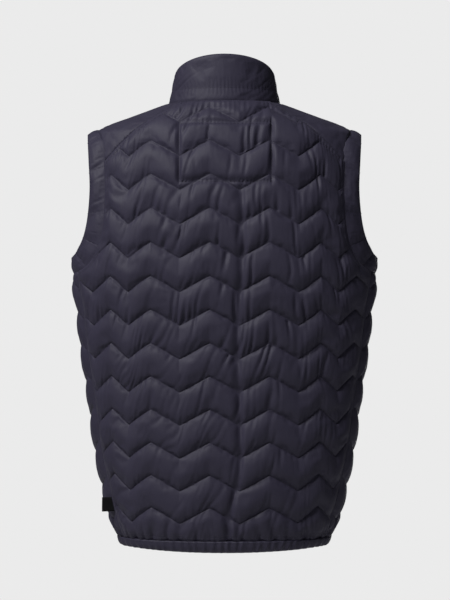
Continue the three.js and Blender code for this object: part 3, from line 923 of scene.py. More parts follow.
# Woven polyester taffeta, calendered: a soft shine along each puff and near black in the folds.
TAFFETA = Cloth("navy_taffeta", "#312e3e", "#3e3b4d", roughness=0.6, specular=0.25, sheen=0.1)
# The same cloth inside, unstretched and a little duller: rougher and less specular, and its colours a shade
# darker than the face's as painted shade for the inside of the vest.
SHADED_LINING = Cloth(
    "navy_taffeta_lining_painted_shade", "#2a2835", "#363342", roughness=0.65, specular=0.2, crease_depth_mm=0.25
)
# Knitted polyester zip tape: matt, with a plain rib.
TAPE = Cloth(
    "black_zip_tape", "#0a0a0c", "#17171b", roughness=0.8, specular=0.2, thread_mm=1.1, thread_depth_mm=0.12,
    crease_depth_mm=0.03,
)
# Woven damask label, folded double: dense and matt.
LABEL = Cloth(
    "black_woven_label", "#070709", "#121216", roughness=0.72, specular=0.25, thread_mm=0.8,
    thread_depth_mm=0.06, crease_depth_mm=0.1, crease_mm=9.0,
)
# Twisted polyester thread: a shade lighter than the cloth, with a small shine on each stitch.
THREAD = Cast("navy_polyester_thread", "#2a2836", "#3d3a4b", roughness=0.5, grain_mm=0.5, grain_depth_mm=0.05)
# Moulded acetal teeth: black, with the satin of a spark-eroded mould.
TEETH = Cast("black_moulded_teeth", "#09090b", "#131317", roughness=0.42)
# Zinc alloy plated gunmetal: dark and reflective, rubbed lighter.
GUNMETAL = Cast("gunmetal_plate", "#2c2c31", "#4a4a50", roughness=0.33, metallic=1.0)


class Palette:
    """The materials, each made once."""

    def __init__(self) -> None:
        """Builds every finish."""
        finishes = (TAFFETA, SHADED_LINING, TAPE, LABEL, THREAD, TEETH, GUNMETAL)
        self.made = {finish.name: finish.make() for finish in finishes}

    def __getitem__(self, finish: Cloth | Cast) -> bpy.types.Material:
        """A finish's material."""
        return self.made[finish.name]


def give_cloth_map(mesh: bpy.types.Mesh, u: Array, v: Array) -> None:
    """Gives a mesh a map of its cloth.

    Args:
        mesh: the piece's mesh.
        u: each point's place across the cloth, in millimetres.
        v: each point's place up the cloth, in millimetres.
    """
    layer = mesh.uv_layers.new(name="cloth")
    index = np.empty(len(mesh.loops), int)
    mesh.loops.foreach_get("vertex_index", index)
    layer.data.foreach_set("uv", (np.stack([u, v], axis=1)[index] * MM).ravel())


def cloth_piece(
    name: str,
    sides: tuple[Array, Array],
    faces: Array,
    flat: tuple[Array, Array],
    finishes: list[bpy.types.Material],
) -> bpy.types.Object:
    """A closed wall of cloth between two matching surfaces.

    Args:
        name: the piece's name.
        sides: points of the face side, and the same points of the lining.
        faces: quads of the face side, pointing out.
        flat: each point's place across and up the cloth, in millimetres.
        finishes: the cloth's material, and the inner face's if it has its own.

    Returns:
        The piece.
    """
    outer, inner = (side.reshape(-1, 3) for side in sides)
    count = len(outer)
    rim = border_of(faces)
    strip = np.stack([rim[:, 1], rim[:, 0], rim[:, 0] + count, rim[:, 1] + count], axis=1)
    mesh = new_mesh(name, np.vstack([outer, inner]), np.vstack([faces, faces[:, ::-1] + count, strip]))
    give_cloth_map(mesh, *(np.tile(np.ravel(way), 2) for way in flat))
    for finish in finishes:
        mesh.materials.append(finish)
    if len(finishes) > 1:
        lined = np.zeros(len(mesh.polygons), np.int32)
        lined[len(faces) : 2 * len(faces)] = 1
        mesh.polygons.foreach_set("material_index", lined)
    LOG.info("%s: %d faces", name, len(mesh.polygons))
    return new_object(name, mesh)


# Sewing


def path_tree(name: str, sizes: dict[str, float], result: str) -> bpy.types.NodeTree:
    """A node tree that takes a path and some sizes.

    Args:
        name: its name.
        sizes: the named inputs and their usual values, in millimetres.
        result: the output's name.

    Returns:
        The tree, with no nodes yet.
    """
    tree = bpy.data.node_groups.new(name, "GeometryNodeTree")
    face = tree.interface
    face.new_socket("Path", in_out="INPUT", socket_type="NodeSocketGeometry")
    for size, value in sizes.items():
        face.new_socket(size, in_out="INPUT", socket_type="NodeSocketFloat").default_value = value * MM
    face.new_socket(result, in_out="OUTPUT", socket_type="NodeSocketGeometry")
    return tree


def resampled(tree: bpy.types.NodeTree, group: bpy.types.NodeOutputs) -> bpy.types.NodeSocket:
    """The tree's path as a curve with a point at each pitch."""
    curve = node(tree, "GeometryNodeMeshToCurve", {"Mesh": group["Path"]}).outputs[0]
    steps = {"Curve": curve, "Length": group["Pitch"]}
    return node(tree, "GeometryNodeResampleCurve", steps, mode="LENGTH").outputs[0]


def end_in_material(
    tree: bpy.types.NodeTree, laid: bpy.types.NodeSocket, material: bpy.types.Material, result: str
) -> None:
    """Ends a tree in real geometry with a material.

    Args:
        tree: the nodes.
        laid: the instances.
        material: their finish.
        result: the output's name.
    """
    real = node(tree, "GeometryNodeRealizeInstances", {"Geometry": laid}).outputs[0]
    dressed = node(tree, "GeometryNodeSetMaterial", {"Geometry": real, "Material": material})
    node(tree, "NodeGroupOutput", {result: dressed.outputs[0]})


def run_along(
    name: str, tree: bpy.types.NodeTree, paths: list[Path], sizes: dict[str, float]
) -> bpy.types.Object:
    """Runs a tree along some paths and keeps what it lays as a plain mesh.

    Args:
        name: the piece's name.
        tree: the nodes.
        paths: each path's points and outward directions, in millimetres.
        sizes: a value in millimetres for each named input.

    Returns:
        The piece.
    """
    points = np.vstack([p for p, _ in paths])
    outward = np.vstack([o for _, o in paths])
    starts = np.cumsum([0] + [len(p) for p, _ in paths])
    edges = [(int(i), int(i) + 1) for a, b in zip(starts[:-1], starts[1:]) for i in range(a, b - 1)]
    mesh = bpy.data.meshes.new(name)
    mesh.from_pydata((points * MM).tolist(), edges, [])
    mesh.attributes.new("out", "FLOAT_VECTOR", "POINT").data.foreach_set("vector", outward.ravel())
    carrier = new_object(name + "_path", mesh)
    modifier = carrier.modifiers.new("Laid", "NODES")
    modifier.node_group = tree
    for item in tree.interface.items_tree:
        if item.item_type == "SOCKET" and item.name in sizes:
            modifier[item.identifier] = sizes[item.name] * MM
    seen = carrier.evaluated_get(bpy.context.evaluated_depsgraph_get())
    result = bpy.data.meshes.new_from_object(seen, preserve_all_data_layers=False)
    carrier.modifiers.clear()
    bpy.data.objects.remove(carrier)
    bpy.data.meshes.remove(mesh)
    result.name = name
    LOG.info("%s: %d faces", name, len(result.polygons))
    return new_object(name, result)


class StitchMaker:
    """Lays stitches along paths with Geometry Nodes."""

    SIZES = {"Pitch": 3.2, "Stitch Length": 2.5, "Thread": 0.5}

    def __init__(self, material: bpy.types.Material) -> None:
        """Builds the tree once: a bead on each point of the resampled path, turned along it.

        Args:
            material: the thread's finish.
        """
        self.tree = path_tree("running_stitch", self.SIZES, "Stitches")
        tree = self.tree
        group = node(tree, "NodeGroupInput").outputs
        even = resampled(tree, group)
        out = node(tree, "GeometryNodeInputNamedAttribute", {"Name": "out"}, data_type="FLOAT_VECTOR")
        along = node(tree, "GeometryNodeInputTangent")
        align = "FunctionNodeAlignRotationToVector"
        up = node(tree, align, {"Vector": out.outputs[0]}, axis="Z")
        way = {"Rotation": up.outputs[0], "Vector": along.outputs[0]}
        turned = node(tree, align, way, axis="X", pivot_axis="Z")
        bead = node(tree, "GeometryNodeMeshUVSphere", {"Segments": 6, "Rings": 4, "Radius": 0.5})
        sides = {"X": group["Stitch Length"], "Y": group["Thread"], "Z": group["Thread"]}
        laid = {
            "Points": even,
            "Instance": bead.outputs["Mesh"],
            "Rotation": turned.outputs[0],
            "Scale": node(tree, "ShaderNodeCombineXYZ", sides).outputs[0],
        }
        beads = node(tree, "GeometryNodeInstanceOnPoints", laid).outputs[0]
        end_in_material(tree, beads, material, "Stitches")

    def sew(self, name: str, paths: list[Path], pitch: float = 3.2) -> bpy.types.Object:
        """Makes one piece of all the stitches along some paths.

        Args:
            name: the piece's name.
            paths: each path's points and outward directions, in millimetres.
            pitch: the stitches' spacing in millimetres.

        Returns:
            The stitches as a plain mesh object.
        """
        sewn = run_along(name, self.tree, paths, self.SIZES | {"Pitch": pitch})
        sewn.data.polygons.foreach_set("use_smooth", [True] * len(sewn.data.polygons))
        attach(sewn, VEST)
        return sewn


def laid_on(surface: BVHTree, start: Array, toward: Array, lift: float = 0.12) -> list[Path]:
    """Drops a path on to a piece.

    Args:
        surface: the piece's faces.
        start: the path's points, clear of the piece.
        toward: the way each point drops.
        lift: how far above the surface it ends.

    Returns:
        Runs of points and outward directions, broken where the path misses the piece or has a gap.
    """
    gap, farthest, fewest = 12, 120, 5
    jumps = np.linalg.norm(np.diff(start, axis=0), axis=1) > gap
    runs: list[tuple[list[Array], list[Array]]] = []
    points, normals = [], []
    for origin, way, jump in zip(start, toward, [False, *jumps]):
        place, normal, _, _ = surface.ray_cast(Vector(origin), Vector(way), farthest)
        if place is None or jump:
            runs.append((points, normals))
            points, normals = [], []
        if place is not None:
            points.append(np.array(place) + lift * np.array(normal))
            normals.append(np.array(normal))
    runs.append((points, normals))
    return [(np.array(p), np.array(n)) for p, n in runs if len(p) >= fewest]


def moved_line(path: Array, distance: float, count: int) -> Array:
    """A flat path moved aside and spaced evenly.

    Args:
        path: its points, one row of x and z each.
        distance: how far it moves to its right.
        count: how many points it gets.

    Returns:
        The new path's points.
    """
    way = unit(np.gradient(path, axis=0))
    return evenly(path + distance * np.stack([way[:, 1], -way[:, 0]], axis=1), count)


# The quilted panels


@dataclass
class QuiltedPanel:
    """A back or front panel: padded between chevron stitch rows, plain inside."""

    name: str
    side: Side
    stroke: float = 45.0
    rise: float = 24.0
    crown: float = 5.6
    stitched: float = 3.3
    narrow_from: float = 100.0
    narrow_over: float = 170.0
    narrow_by: float = 40.0
    first_peak_z: float = -14.5
    pitch: float = 51.9
    tighten: float = 0.105
    last_row: int = 12
    chest_girth: float = 1160.0
    seam_sink: float = 16.0
    step: float = 2.5
    patch_x: tuple[float, float] = (-68.0, 71.0)
    patch_z: tuple[float, float] = (-129.0, -40.0)
    reach: float = 440.0
    pressed: float = 0.9
    fold_spacing: float = 10.5
    fold_depth: float = 3.0
    hem_pleat: float = 23.0
    top_pleat: float = 7.6
    crease_u: float = 22.5
    crease_depth: float = 5.0
    fill: Fill = field(default_factory=Fill)
    surface: BVHTree | None = field(default=None, init=False)

    def row_z(self, row: Array) -> Array:
        """The height of a stitch row's peaks."""
        return self.first_peak_z - self.pitch * row + self.tighten * row * row

    def drop(self, u: Array) -> Array:
        """How far a chevron has dropped from its peak."""
        turns = (u + (0.5 if self.side is Side.BACK else -0.5) * self.stroke) / (2 * self.stroke)
        return self.rise * 2 * np.abs(turns - np.round(turns))

    def level(self, u: Array, row: Array) -> Array:
        """The height of a place of the quilting."""
        return self.row_z(row) - self.drop(u)

    def narrowed(self, way: Array) -> Array:
        """Distances from the centre back once the back's outer strokes are narrowed."""
        if self.side is Side.FRONT:
            return way
        return way - self.narrow_by * smooth((way - self.narrow_from) / self.narrow_over)

    def arc(self, u: Array, z: Array) -> Array:
        """The distance round the form for a distance over the panel.

        Args:
            u: distances over the panel from its middle.
            z: heights.

        Returns:
            The distance round from the centre back, as much of it as the ring's girth there leaves.
        """
        girth = FORM.half_girth(z)
        whole = self.narrowed(self.chest_girth / 2)
        kept = np.minimum(0.62 * girth, whole)
        way = self.narrowed(np.abs(u))
        way = np.where(way <= kept, way, kept + (way - kept) / (whole - kept) * (girth - kept))
        return np.sign(u) * way if self.side is Side.BACK else girth - way

    def base(self, u: Array, row: Array) -> Array:
        """Points of the panel's inner face."""
        z = self.level(u, row)
        return FORM.point(z, self.arc(u, z))

    def outward(self, u: Array, row: Array) -> Array:
        """Outward directions at the same places."""
        z = self.level(u, row)
        return FORM.normal(z, self.arc(u, z))

    def inside(self, p: Array) -> Array:
        """How far points lie inside the panel's seams.

        Args:
            p: points of the form.

        Returns:
            The distance of each, negative outside.
        """
        x, y, z = p[..., 0], p[..., 1], p[..., 2]
        toward = (SIDE_SEAM_Y - y) if self.side is Side.BACK else (y - SIDE_SEAM_Y)
        near = [
            SEAMS.below_yoke(p, self.side),
            SEAMS.in_armhole(p, self.side),
            toward,
            z - HEM_SEAM_Z,
            to_neck(x, y) - HALF_GAP,
        ]
        if self.side is Side.FRONT:
            near.append(x - ZIP_CLEAR + HALF_GAP)
        return np.minimum.reduce(near) - HALF_GAP

    def puff(self, row: Array) -> Array:
        """The padding's profile from one stitch row to the next, full to the hem below the last.

        Args:
            row: places down the panel, in stitch rows.

        Returns:
            The rise of each, from 0 to 1.
        """
        part = row - np.floor(row)
        shape = np.sin(math.pi * part) ** 0.6
        return np.where(row > self.last_row, np.maximum(shape, smooth((row - self.last_row) * 3.2)), shape)

    def cut(self) -> Sheet:
        """Cuts the panel's grid, finer where the shoulders slope and beside the stitched rectangle.

        Returns:
            The panel's sheet.
        """
        rows = []
        for row in range(-1, 14):
            part = np.linspace(0, 1, 26 if row < 1 else 17, endpoint=False)
            rows.append(row + part - 0.5 * np.sin(2 * math.pi * part) / (2 * math.pi))
        count = int(self.reach / self.step)
        first = -count if self.side is Side.BACK else -8
        columns = -self.stroke / 2 + self.step * np.arange(first, count + 1)
        if self.side is Side.FRONT:
            columns = columns[columns > -1]
        else:
            beside = np.add.outer(self.patch_x, (-1.3, 0.0, 1.3)).ravel()
            apart = np.abs(np.subtract.outer(columns, beside)).min(axis=1) > 0.8
            columns = np.sort(np.concatenate([columns[apart], beside]))
        sheet = cut_sheet(columns, np.concatenate(rows), self.base, self.inside, self.pitch)
        if self.side is Side.FRONT:
            sheet.faces = sheet.faces[:, ::-1]
        return sheet

    def build(self, palette: Palette) -> tuple[bpy.types.Object, list[Path]]:
        """Makes the panel for the wearer's right or the back.

        Args:
            palette: the materials.

        Returns:
            The piece, and the paths of its stitch rows.
        """
        sheet = self.cut()
        inner = self.base(sheet.u, sheet.v)
        out = self.outward(sheet.u, sheet.v)
        x, y, z = inner.T
        near = np.minimum.reduce(
            [SEAMS.below_yoke(inner, self.side), SEAMS.in_armhole(inner, self.side), to_neck(x, y)]
        )
        near = np.minimum(near, np.abs(y - SIDE_SEAM_Y))
        if self.side is Side.FRONT:
            near = np.minimum(near, (x - ZIP_CLEAR) * 1.6)
        rise = smooth(0.1 + near / self.seam_sink) * smooth(0.25 + (z - HEM_SEAM_Z) / (3 * self.seam_sink))
        on_row = np.abs(sheet.v - np.round(sheet.v)) < 1e-6
        sewn = on_row & (sheet.v > -0.5) & (sheet.v < self.last_row + 0.5)
        held = sewn | sheet.edge
        pressed = np.where(sewn, self.pressed * smooth(near / 8), 0)
        lift = self.stitched + self.crown * self.puff(sheet.v) * rise - pressed
        gathered = np.where(held, 0, self.wrinkles(sheet.u, sheet.v, x) * smooth(near / 10))
        lift = np.maximum(lift - gathered, 1.5)
        outer = inner + out * lift[:, None]
        outer = inflate(outer, sheet.faces, held, self.fill)
        to_top = np.minimum(SEAMS.below_yoke(inner, self.side), to_neck(x, y))
        drawn = 0.6 * gathered + self.gathers(sheet.u, z, to_top) * smooth(near / 5)
        drawn = drawn + self.crease(sheet.u, z)
        room = ((outer - inner) * out).sum(axis=1) - 1.2
        drawn = np.maximum(drawn, self.pressed_patch(x, z) * room)
        outer = outer - out * np.clip(drawn, 0, np.maximum(room, 0))[:, None]
        self.surface = BVHTree.FromPolygons(outer.tolist(), sheet.faces.tolist())
        # The inner face takes the lining, whose darker colour is painted shade.
        finishes = [palette[TAFFETA], palette[SHADED_LINING]]
        piece = cloth_piece(self.name, (outer, inner), sheet.faces, (sheet.u, z), finishes)
        return piece, self.rows_of(sheet, outer, out, sewn)

    def wrinkles(self, u: Array, row: Array, x: Array) -> Array:
        """The narrow folds that the stitching gathers into each puff, in millimetres inwards.

        Args:
            u: places across the cloth.
            row: places down it, in stitch rows.
            x: places across the body.

        Returns:
            How far in each point lies.
        """
        number = np.floor(row)
        part = row - number
        z = self.level(u, row)
        flat = np.stack([u, z], axis=1)
        lean = 0.3 - 0.0022 * np.clip(x, -60, 200) + 0.5 * (scatter(number, 3) - 0.5)
        bend = 5.0 * ripple(flat * (1, 0.4), 40, 11)
        across = (u + lean * self.pitch * (part - 0.5) + bend) / self.fold_spacing + 7.3 * number
        fold = np.round(across)
        own = fold + 61 * number
        there = smooth((scatter(own, 5) - 0.3) / 0.45)
        # Each fold starts at one of its puff's two stitch rows, and dies away towards the other.
        start = np.where(scatter(own, 7) < 0.62, 1 - part, part)
        length = 0.35 + 0.65 * scatter(own, 8)
        along = bell(start / length) * smooth(part / 0.07) * smooth((1 - part) / 0.07)
        patch = smooth(0.85 + 0.5 * ripple(flat, 120, 13) - np.abs(x) / 380)
        high = 0.4 + 0.6 * smooth((z + 560) / 240)
        return self.fold_depth * bell((across - fold) / 0.25) * there * along * patch * high

    def gathers(self, u: Array, z: Array, to_top: Array) -> Array:
        """The small pleats at the hem and below the yoke and collar seams.

        Args:
            u: places across the cloth.
            z: their heights.
            to_top: how far they lie below the yoke and collar seams.

        Returns:
            How far in each point lies, in millimetres.
        """
        flat = np.stack([u, z * 0.3], axis=1)
        wide = 0.5 + 0.5 * np.sin(2 * math.pi * u / self.hem_pleat + 3.4 * ripple(flat, 60, 21))
        fine = 0.5 + 0.5 * np.sin(2 * math.pi * u / self.top_pleat + 2.0 * ripple(flat, 60, 22))
        above = z - HEM_SEAM_Z
        deep = 2.4 + 1.6 * ripple(flat, 70, 24)
        hem = deep * wide**2 * bell(above / 36) + 1.0 * fine * bell((above - 6) / 6)
        own = smooth(0.5 + 0.9 * ripple(flat, 45, 23))
        return hem + 2.4 * fine * own * bell(to_top / 14)

    def pressed_patch(self, x: Array, z: Array) -> Array:
        """The share of the padding that the stitched rectangle on the upper back presses flat.

        Args:
            x: places across the body.
            z: their heights.

        Returns:
            The share of each, from 0 to 1.
        """
        if self.side is Side.FRONT:
            return np.zeros(len(x))
        x0, x1 = self.patch_x
        z0, z1 = self.patch_z
        across = np.maximum(np.maximum(x0 - x, x - x1), 0)
        up = np.maximum(np.maximum(z0 - z, z - z1), 0)
        level = np.minimum(np.abs(z - z0), np.abs(z - z1))
        upright = np.minimum(np.abs(x - x0), np.abs(x - x1))
        pleats = 0.6 + 0.25 * np.sin(2 * math.pi * x / 5.4 + 1.5 * np.sin(x / 9))
        rows = pleats * bell((level + across) / 3.6)
        return np.maximum(rows, 0.75 * bell((upright + up) / 2.8))

    def crease(self, u: Array, z: Array) -> Array:
        """The soft fold beside the centre of the back, steep on its right.

        Args:
            u: places across the cloth.
            z: their heights.

        Returns:
            How far in each point lies, in millimetres.
        """
        if self.side is Side.FRONT:
            return np.zeros(len(u))
        drift = self.crease_u + 2.5 * np.sin(z / 47) + 4 * smooth((z + 400) / 200)
        side = u - (drift - 13 * smooth((-560 - z) / 90))
        return self.crease_depth * bell(side / np.where(side < 0, 7.5, 3.2)) * smooth((-118 - z) / 45)

    def topstitching(self) -> list[Path]:
        """The rows along the panel's seams, and on the back those of the rectangle.

        Returns:
            The rows' paths over the finished panel.
        """
        paths = [(moved_line(SEAMS.yoke[self.side][1:-1], 2.4, 160), True)]
        paths.append((moved_line(SEAMS.armhole[self.side][1:-1], 2.6, 240), True))
        if self.side is Side.BACK:
            x0, x1 = self.patch_x
            z0, z1 = self.patch_z
            ring = np.array([(x0, z0), (x1, z0), (x1, z1), (x0, z1), (x0, z0)], float)
            paths += [(moved_line(ring[i : i + 2], 0, 60), False) for i in range(4)]
        else:
            paths.append((np.stack([np.full(300, 8.6), np.linspace(-76, -668, 300)], axis=1), False))
        runs: list[Path] = []
        for line, paired in paths:
            for flip in (1, -1) if paired and self.side is Side.BACK else (1,):
                x, z = line[:, 0] * flip, line[:, 1]
                on_form = np.stack([x, FORM.depth(x, z, self.side), z], axis=1)
                start = (on_form + (0, 60 * self.side.value, 0))[self.inside(on_form) > 0.8]
                runs += laid_on(self.surface, start, np.tile([0.0, -self.side.value, 0.0], (len(start), 1)))
        for z in (HEM_SEAM_Z + 4.5, HEM_SEAM_Z + 8.5):
            arc = np.linspace(-1, 1, 700) * float(FORM.half_girth(z))
            points, normals = FORM.point(z, arc), FORM.normal(np.full(700, z), arc)
            kept = self.inside(points) > 1.0
            runs += laid_on(self.surface, (points + 40 * normals)[kept], -normals[kept])
        return runs

    def rows_of(self, sheet: Sheet, outer: Array, out: Array, sewn: Array) -> list[Path]:
        """The stitch rows over the finished panel.

        Args:
            sheet: the panel's grid.
            outer: its finished points.
            out: their outward directions.
            sewn: which points lie on a stitch row.

        Returns:
            The rows' paths.
        """
        paths = []
        for row in range(self.last_row + 1):
            found = np.flatnonzero(sewn & ~sheet.edge & (np.abs(sheet.v - row) < 1e-6))
            found = found[np.argsort(sheet.u[found])]
            for run in np.split(found, np.flatnonzero(np.diff(sheet.u[found]) > 1.5 * self.step) + 1):
                if len(run) > 3:
                    paths.append((outer[run] + 0.1 * out[run], out[run]))
        return paths


def mirror_copy(piece: bpy.types.Object, name: str) -> bpy.types.Object:
    """A left piece from a right one.

    Args:
        piece: the right one.
        name: the left one's name.

    Returns:
        The new object, its faces still pointing out.
    """
    mesh = piece.data.copy()
    mesh.name = name
    flat = np.empty(3 * len(mesh.vertices))
    mesh.vertices.foreach_get("co", flat)
    flat[0::3] *= -1
    mesh.vertices.foreach_set("co", flat)
    mesh.flip_normals()
    mesh.update()
    return new_object(name, mesh)


def mirror_paths(paths: list[Path]) -> list[Path]:
    """Stitch paths for the left from those for the right."""
    flip = np.array([-1, 1, 1])
    return [(p * flip, o * flip) for p, o in paths]


# Yokes, bands, collar and hem


@dataclass
class ShoulderYoke:
    """The smooth panel over a shoulder, between the back and front yoke seams."""

    wall: float = 3.0
    step: float = 3.0
    fill: Fill = field(default_factory=lambda: Fill(pressure=1.2, ease=0.012, cap=0.8))

    def heights(self) -> tuple[Array, Array]:
        """Levels of the form down the shoulder.

        Returns:
            Their heights, and how far down the slope each lies.
        """
        z = np.arange(12.0, -131.0, -0.5)
        way = np.hypot(np.diff(FORM.at(FORM.half, z)), np.diff(z))
        return z, np.concatenate([[0], np.cumsum(way)])

    def base(self, u: Array, v: Array) -> Array:
        """Points of the inner face.

        Args:
            u: places round the ring, in thousandths of it.
            v: places down the slope, in millimetres.

        Returns:
            One point for each place.
        """
        z, way = self.heights()
        level = np.interp(v, way, z)
        return FORM.point(level, u / 1000 * 2 * FORM.half_girth(level))

    @staticmethod
    def inside(p: Array) -> Array:
        """How far points lie inside the yoke's seams.

        Args:
            p: points of the form.

        Returns:
            The distance of each, negative outside.
        """
        y = p[..., 1]
        far = 99
        back = np.where(y < 0, -SEAMS.below_yoke(p, Side.BACK), far)
        front = np.where(y >= 0, -SEAMS.below_yoke(p, Side.FRONT), far)
        hole = np.where(y < 0, SEAMS.in_armhole(p, Side.BACK), SEAMS.in_armhole(p, Side.FRONT))
        neck = to_neck(p[..., 0], y) - HALF_GAP
        return np.minimum.reduce([back, front, hole, neck]) - HALF_GAP

    def build(self, palette: Palette, name: str) -> bpy.types.Object:
        """Makes the right yoke.

        Args:
            palette: the materials.
            name: its name.

        Returns:
            The piece.
        """
        z, way = self.heights()
        across, down = np.arange(60, 440, self.step), np.arange(0, way[-1], self.step)
        sheet = cut_sheet(across, down, self.base, self.inside)
        inner = self.base(sheet.u, sheet.v)
        level = np.interp(sheet.v, way, z)
        out = FORM.normal(level, sheet.u / 1000 * 2 * FORM.half_girth(level))
        lift = self.wall - 0.8 + 0.6 * smooth(self.inside(inner) / 14)
        outer = inflate(inner + out * lift[:, None], sheet.faces, sheet.edge, self.fill)
        # The inner face takes the lining, whose darker colour is painted shade.
        finishes = [palette[TAFFETA], palette[SHADED_LINING]]
        return cloth_piece(name, (outer, inner), sheet.faces, (sheet.u, -sheet.v), finishes)


def armhole_curves(count: int) -> tuple[Array, Array]:
    """The seam and the free edge round an armhole, from the shoulder down the back and up the front.

    Args:
        count: how many points each gets.

    Returns:
        The seam's points and the edge's.
    """
    last = len(BACK_ARMHOLE) - 1
    seam, edge = [], []
    rows = [(row, Side.BACK) for row in BACK_ARMHOLE]
    rows += [(row, Side.FRONT) for row in reversed(FRONT_ARMHOLE[1:last])]
    for i, (row, side) in enumerate(rows):
        z = row.seam[1]
        x = min(row.seam[0], float(FORM.at(FORM.half, z)))
        y = 0.0 if i in (0, last) else float(FORM.depth(np.array(x), np.array(z), side))
        seam.append((x, y, z))
        edge.append(row.edge)
    at = np.arange(count) / count
    return spline(np.array(seam), True, at), spline(np.array(edge, float), True, at)


@dataclass
class ArmholeBand:
    """The padded band that stands out round an armhole, sewn through across it."""

    stations: int = 468
    across: int = 13
    puffs: int = 12
    full: float = 5.4
    thin: float = 2.0
    reach: float = 1.13
    phase: int = 15
    slope: float = 8.0
    tuck: float = 0.45
    tuck_depth: float = 1.6
    sunk: float = 1.5
    width: float = 26.0
    round_mm: float = 2 * math.pi * 105
    fold_depth: float = 1.3
    fill: Fill = field(default_factory=lambda: Fill(pressure=1.4, ease=0.012, cap=1.3))

    def raised(self, share: Array, steps: Array) -> Array:
        """How far the face stands off the band's middle before it is filled.

        Args:
            share: each row's place from the seam, 0, to the free edge, 1.
            steps: each point's place round the band, counted in puffs.

        Returns:
            The height of each point, a row for each share.
        """
        puff = (self.full - self.thin) * np.abs(np.sin(math.pi * steps)) ** 0.5
        shape = np.interp(share, [0, 0.12, 0.35, 0.62, 0.92, 1], [0, 0.55, 1, 1, 0.45, 0])[:, None]
        start = 0.9
        lift = self.thin * np.interp(share, [0, 0.92, 1], [0.8, 1, 0])[:, None] + start * shape * puff
        lift = lift + self.sunk * (1 - share)[:, None]
        fold = some_folds((np.arange(self.stations) * 1.41 - 16 * share[:, None]) / 9.2, 0.24, 9, 0.4)
        near_row = bell((steps - np.round(steps)) / 0.3)
        beside_row = smooth(np.abs(np.sin(math.pi * steps)) * 5)
        return lift - self.fold_depth * fold * shape * near_row * beside_row

    def build(self, palette: Palette, name: str) -> tuple[bpy.types.Object, list[Path]]:
        """Makes the right band.

        Args:
            palette: the materials.
            name: its name.

        Returns:
            The piece, and the paths of its cross stitching.
        """
        seam, edge = armhole_curves(self.stations)
        across = (edge - seam) * self.reach
        along = sum(unit(np.roll(line, -1, 0) - np.roll(line, 1, 0)) for line in (seam, edge))
        out = unit(np.cross(along, across))
        share = np.concatenate([[-self.tuck], np.linspace(0, 1, self.across)])
        rows = len(share)
        spacing = self.stations // self.puffs
        shift = -self.phase + np.round(self.slope * np.maximum(share, 0)).astype(int)
        lift = self.raised(share, (np.arange(self.stations) - shift[:, None]) / spacing)
        # The first row is tucked under the panel that the band is sewn to.
        lift[0] = -self.tuck_depth
        face = seam + across * share[:, None, None] + out * lift[:, :, None]
        faces = grid_faces(rows, self.stations, wrap=True)
        sewn = np.zeros((rows, self.stations), bool)
        sewn[[0, 1, -1]] = True
        crossed = (shift[:, None] + spacing * np.arange(self.puffs)) % self.stations
        sewn[np.arange(rows)[:, None], crossed] = True
        blown = inflate(face.reshape(-1, 3), faces, sewn.ravel(), self.fill)
        back = -self.thin * 0.9 * np.interp(share, [0, 0.3, 0.92, 1], [0.8, 1, 1, 0])[:, None]
        back = back + self.sunk * (1 - share)[:, None] - 0.1
        back[0] = -self.tuck_depth - 1.2
        lining = seam + across * share[:, None, None] + out * back[:, :, None]
        way = self.round_mm * (np.arange(self.stations) / self.stations)
        flat = (np.repeat(share * self.width, self.stations), np.tile(way, rows))
        piece = cloth_piece(name, (blown, lining), faces, flat, [palette[TAFFETA]])
        grid = blown.reshape(rows, self.stations, 3)
        level = np.arange(1, rows)
        return piece, [(grid[level, i] + 0.1 * out[i], out[i]) for i in crossed[1:].T]


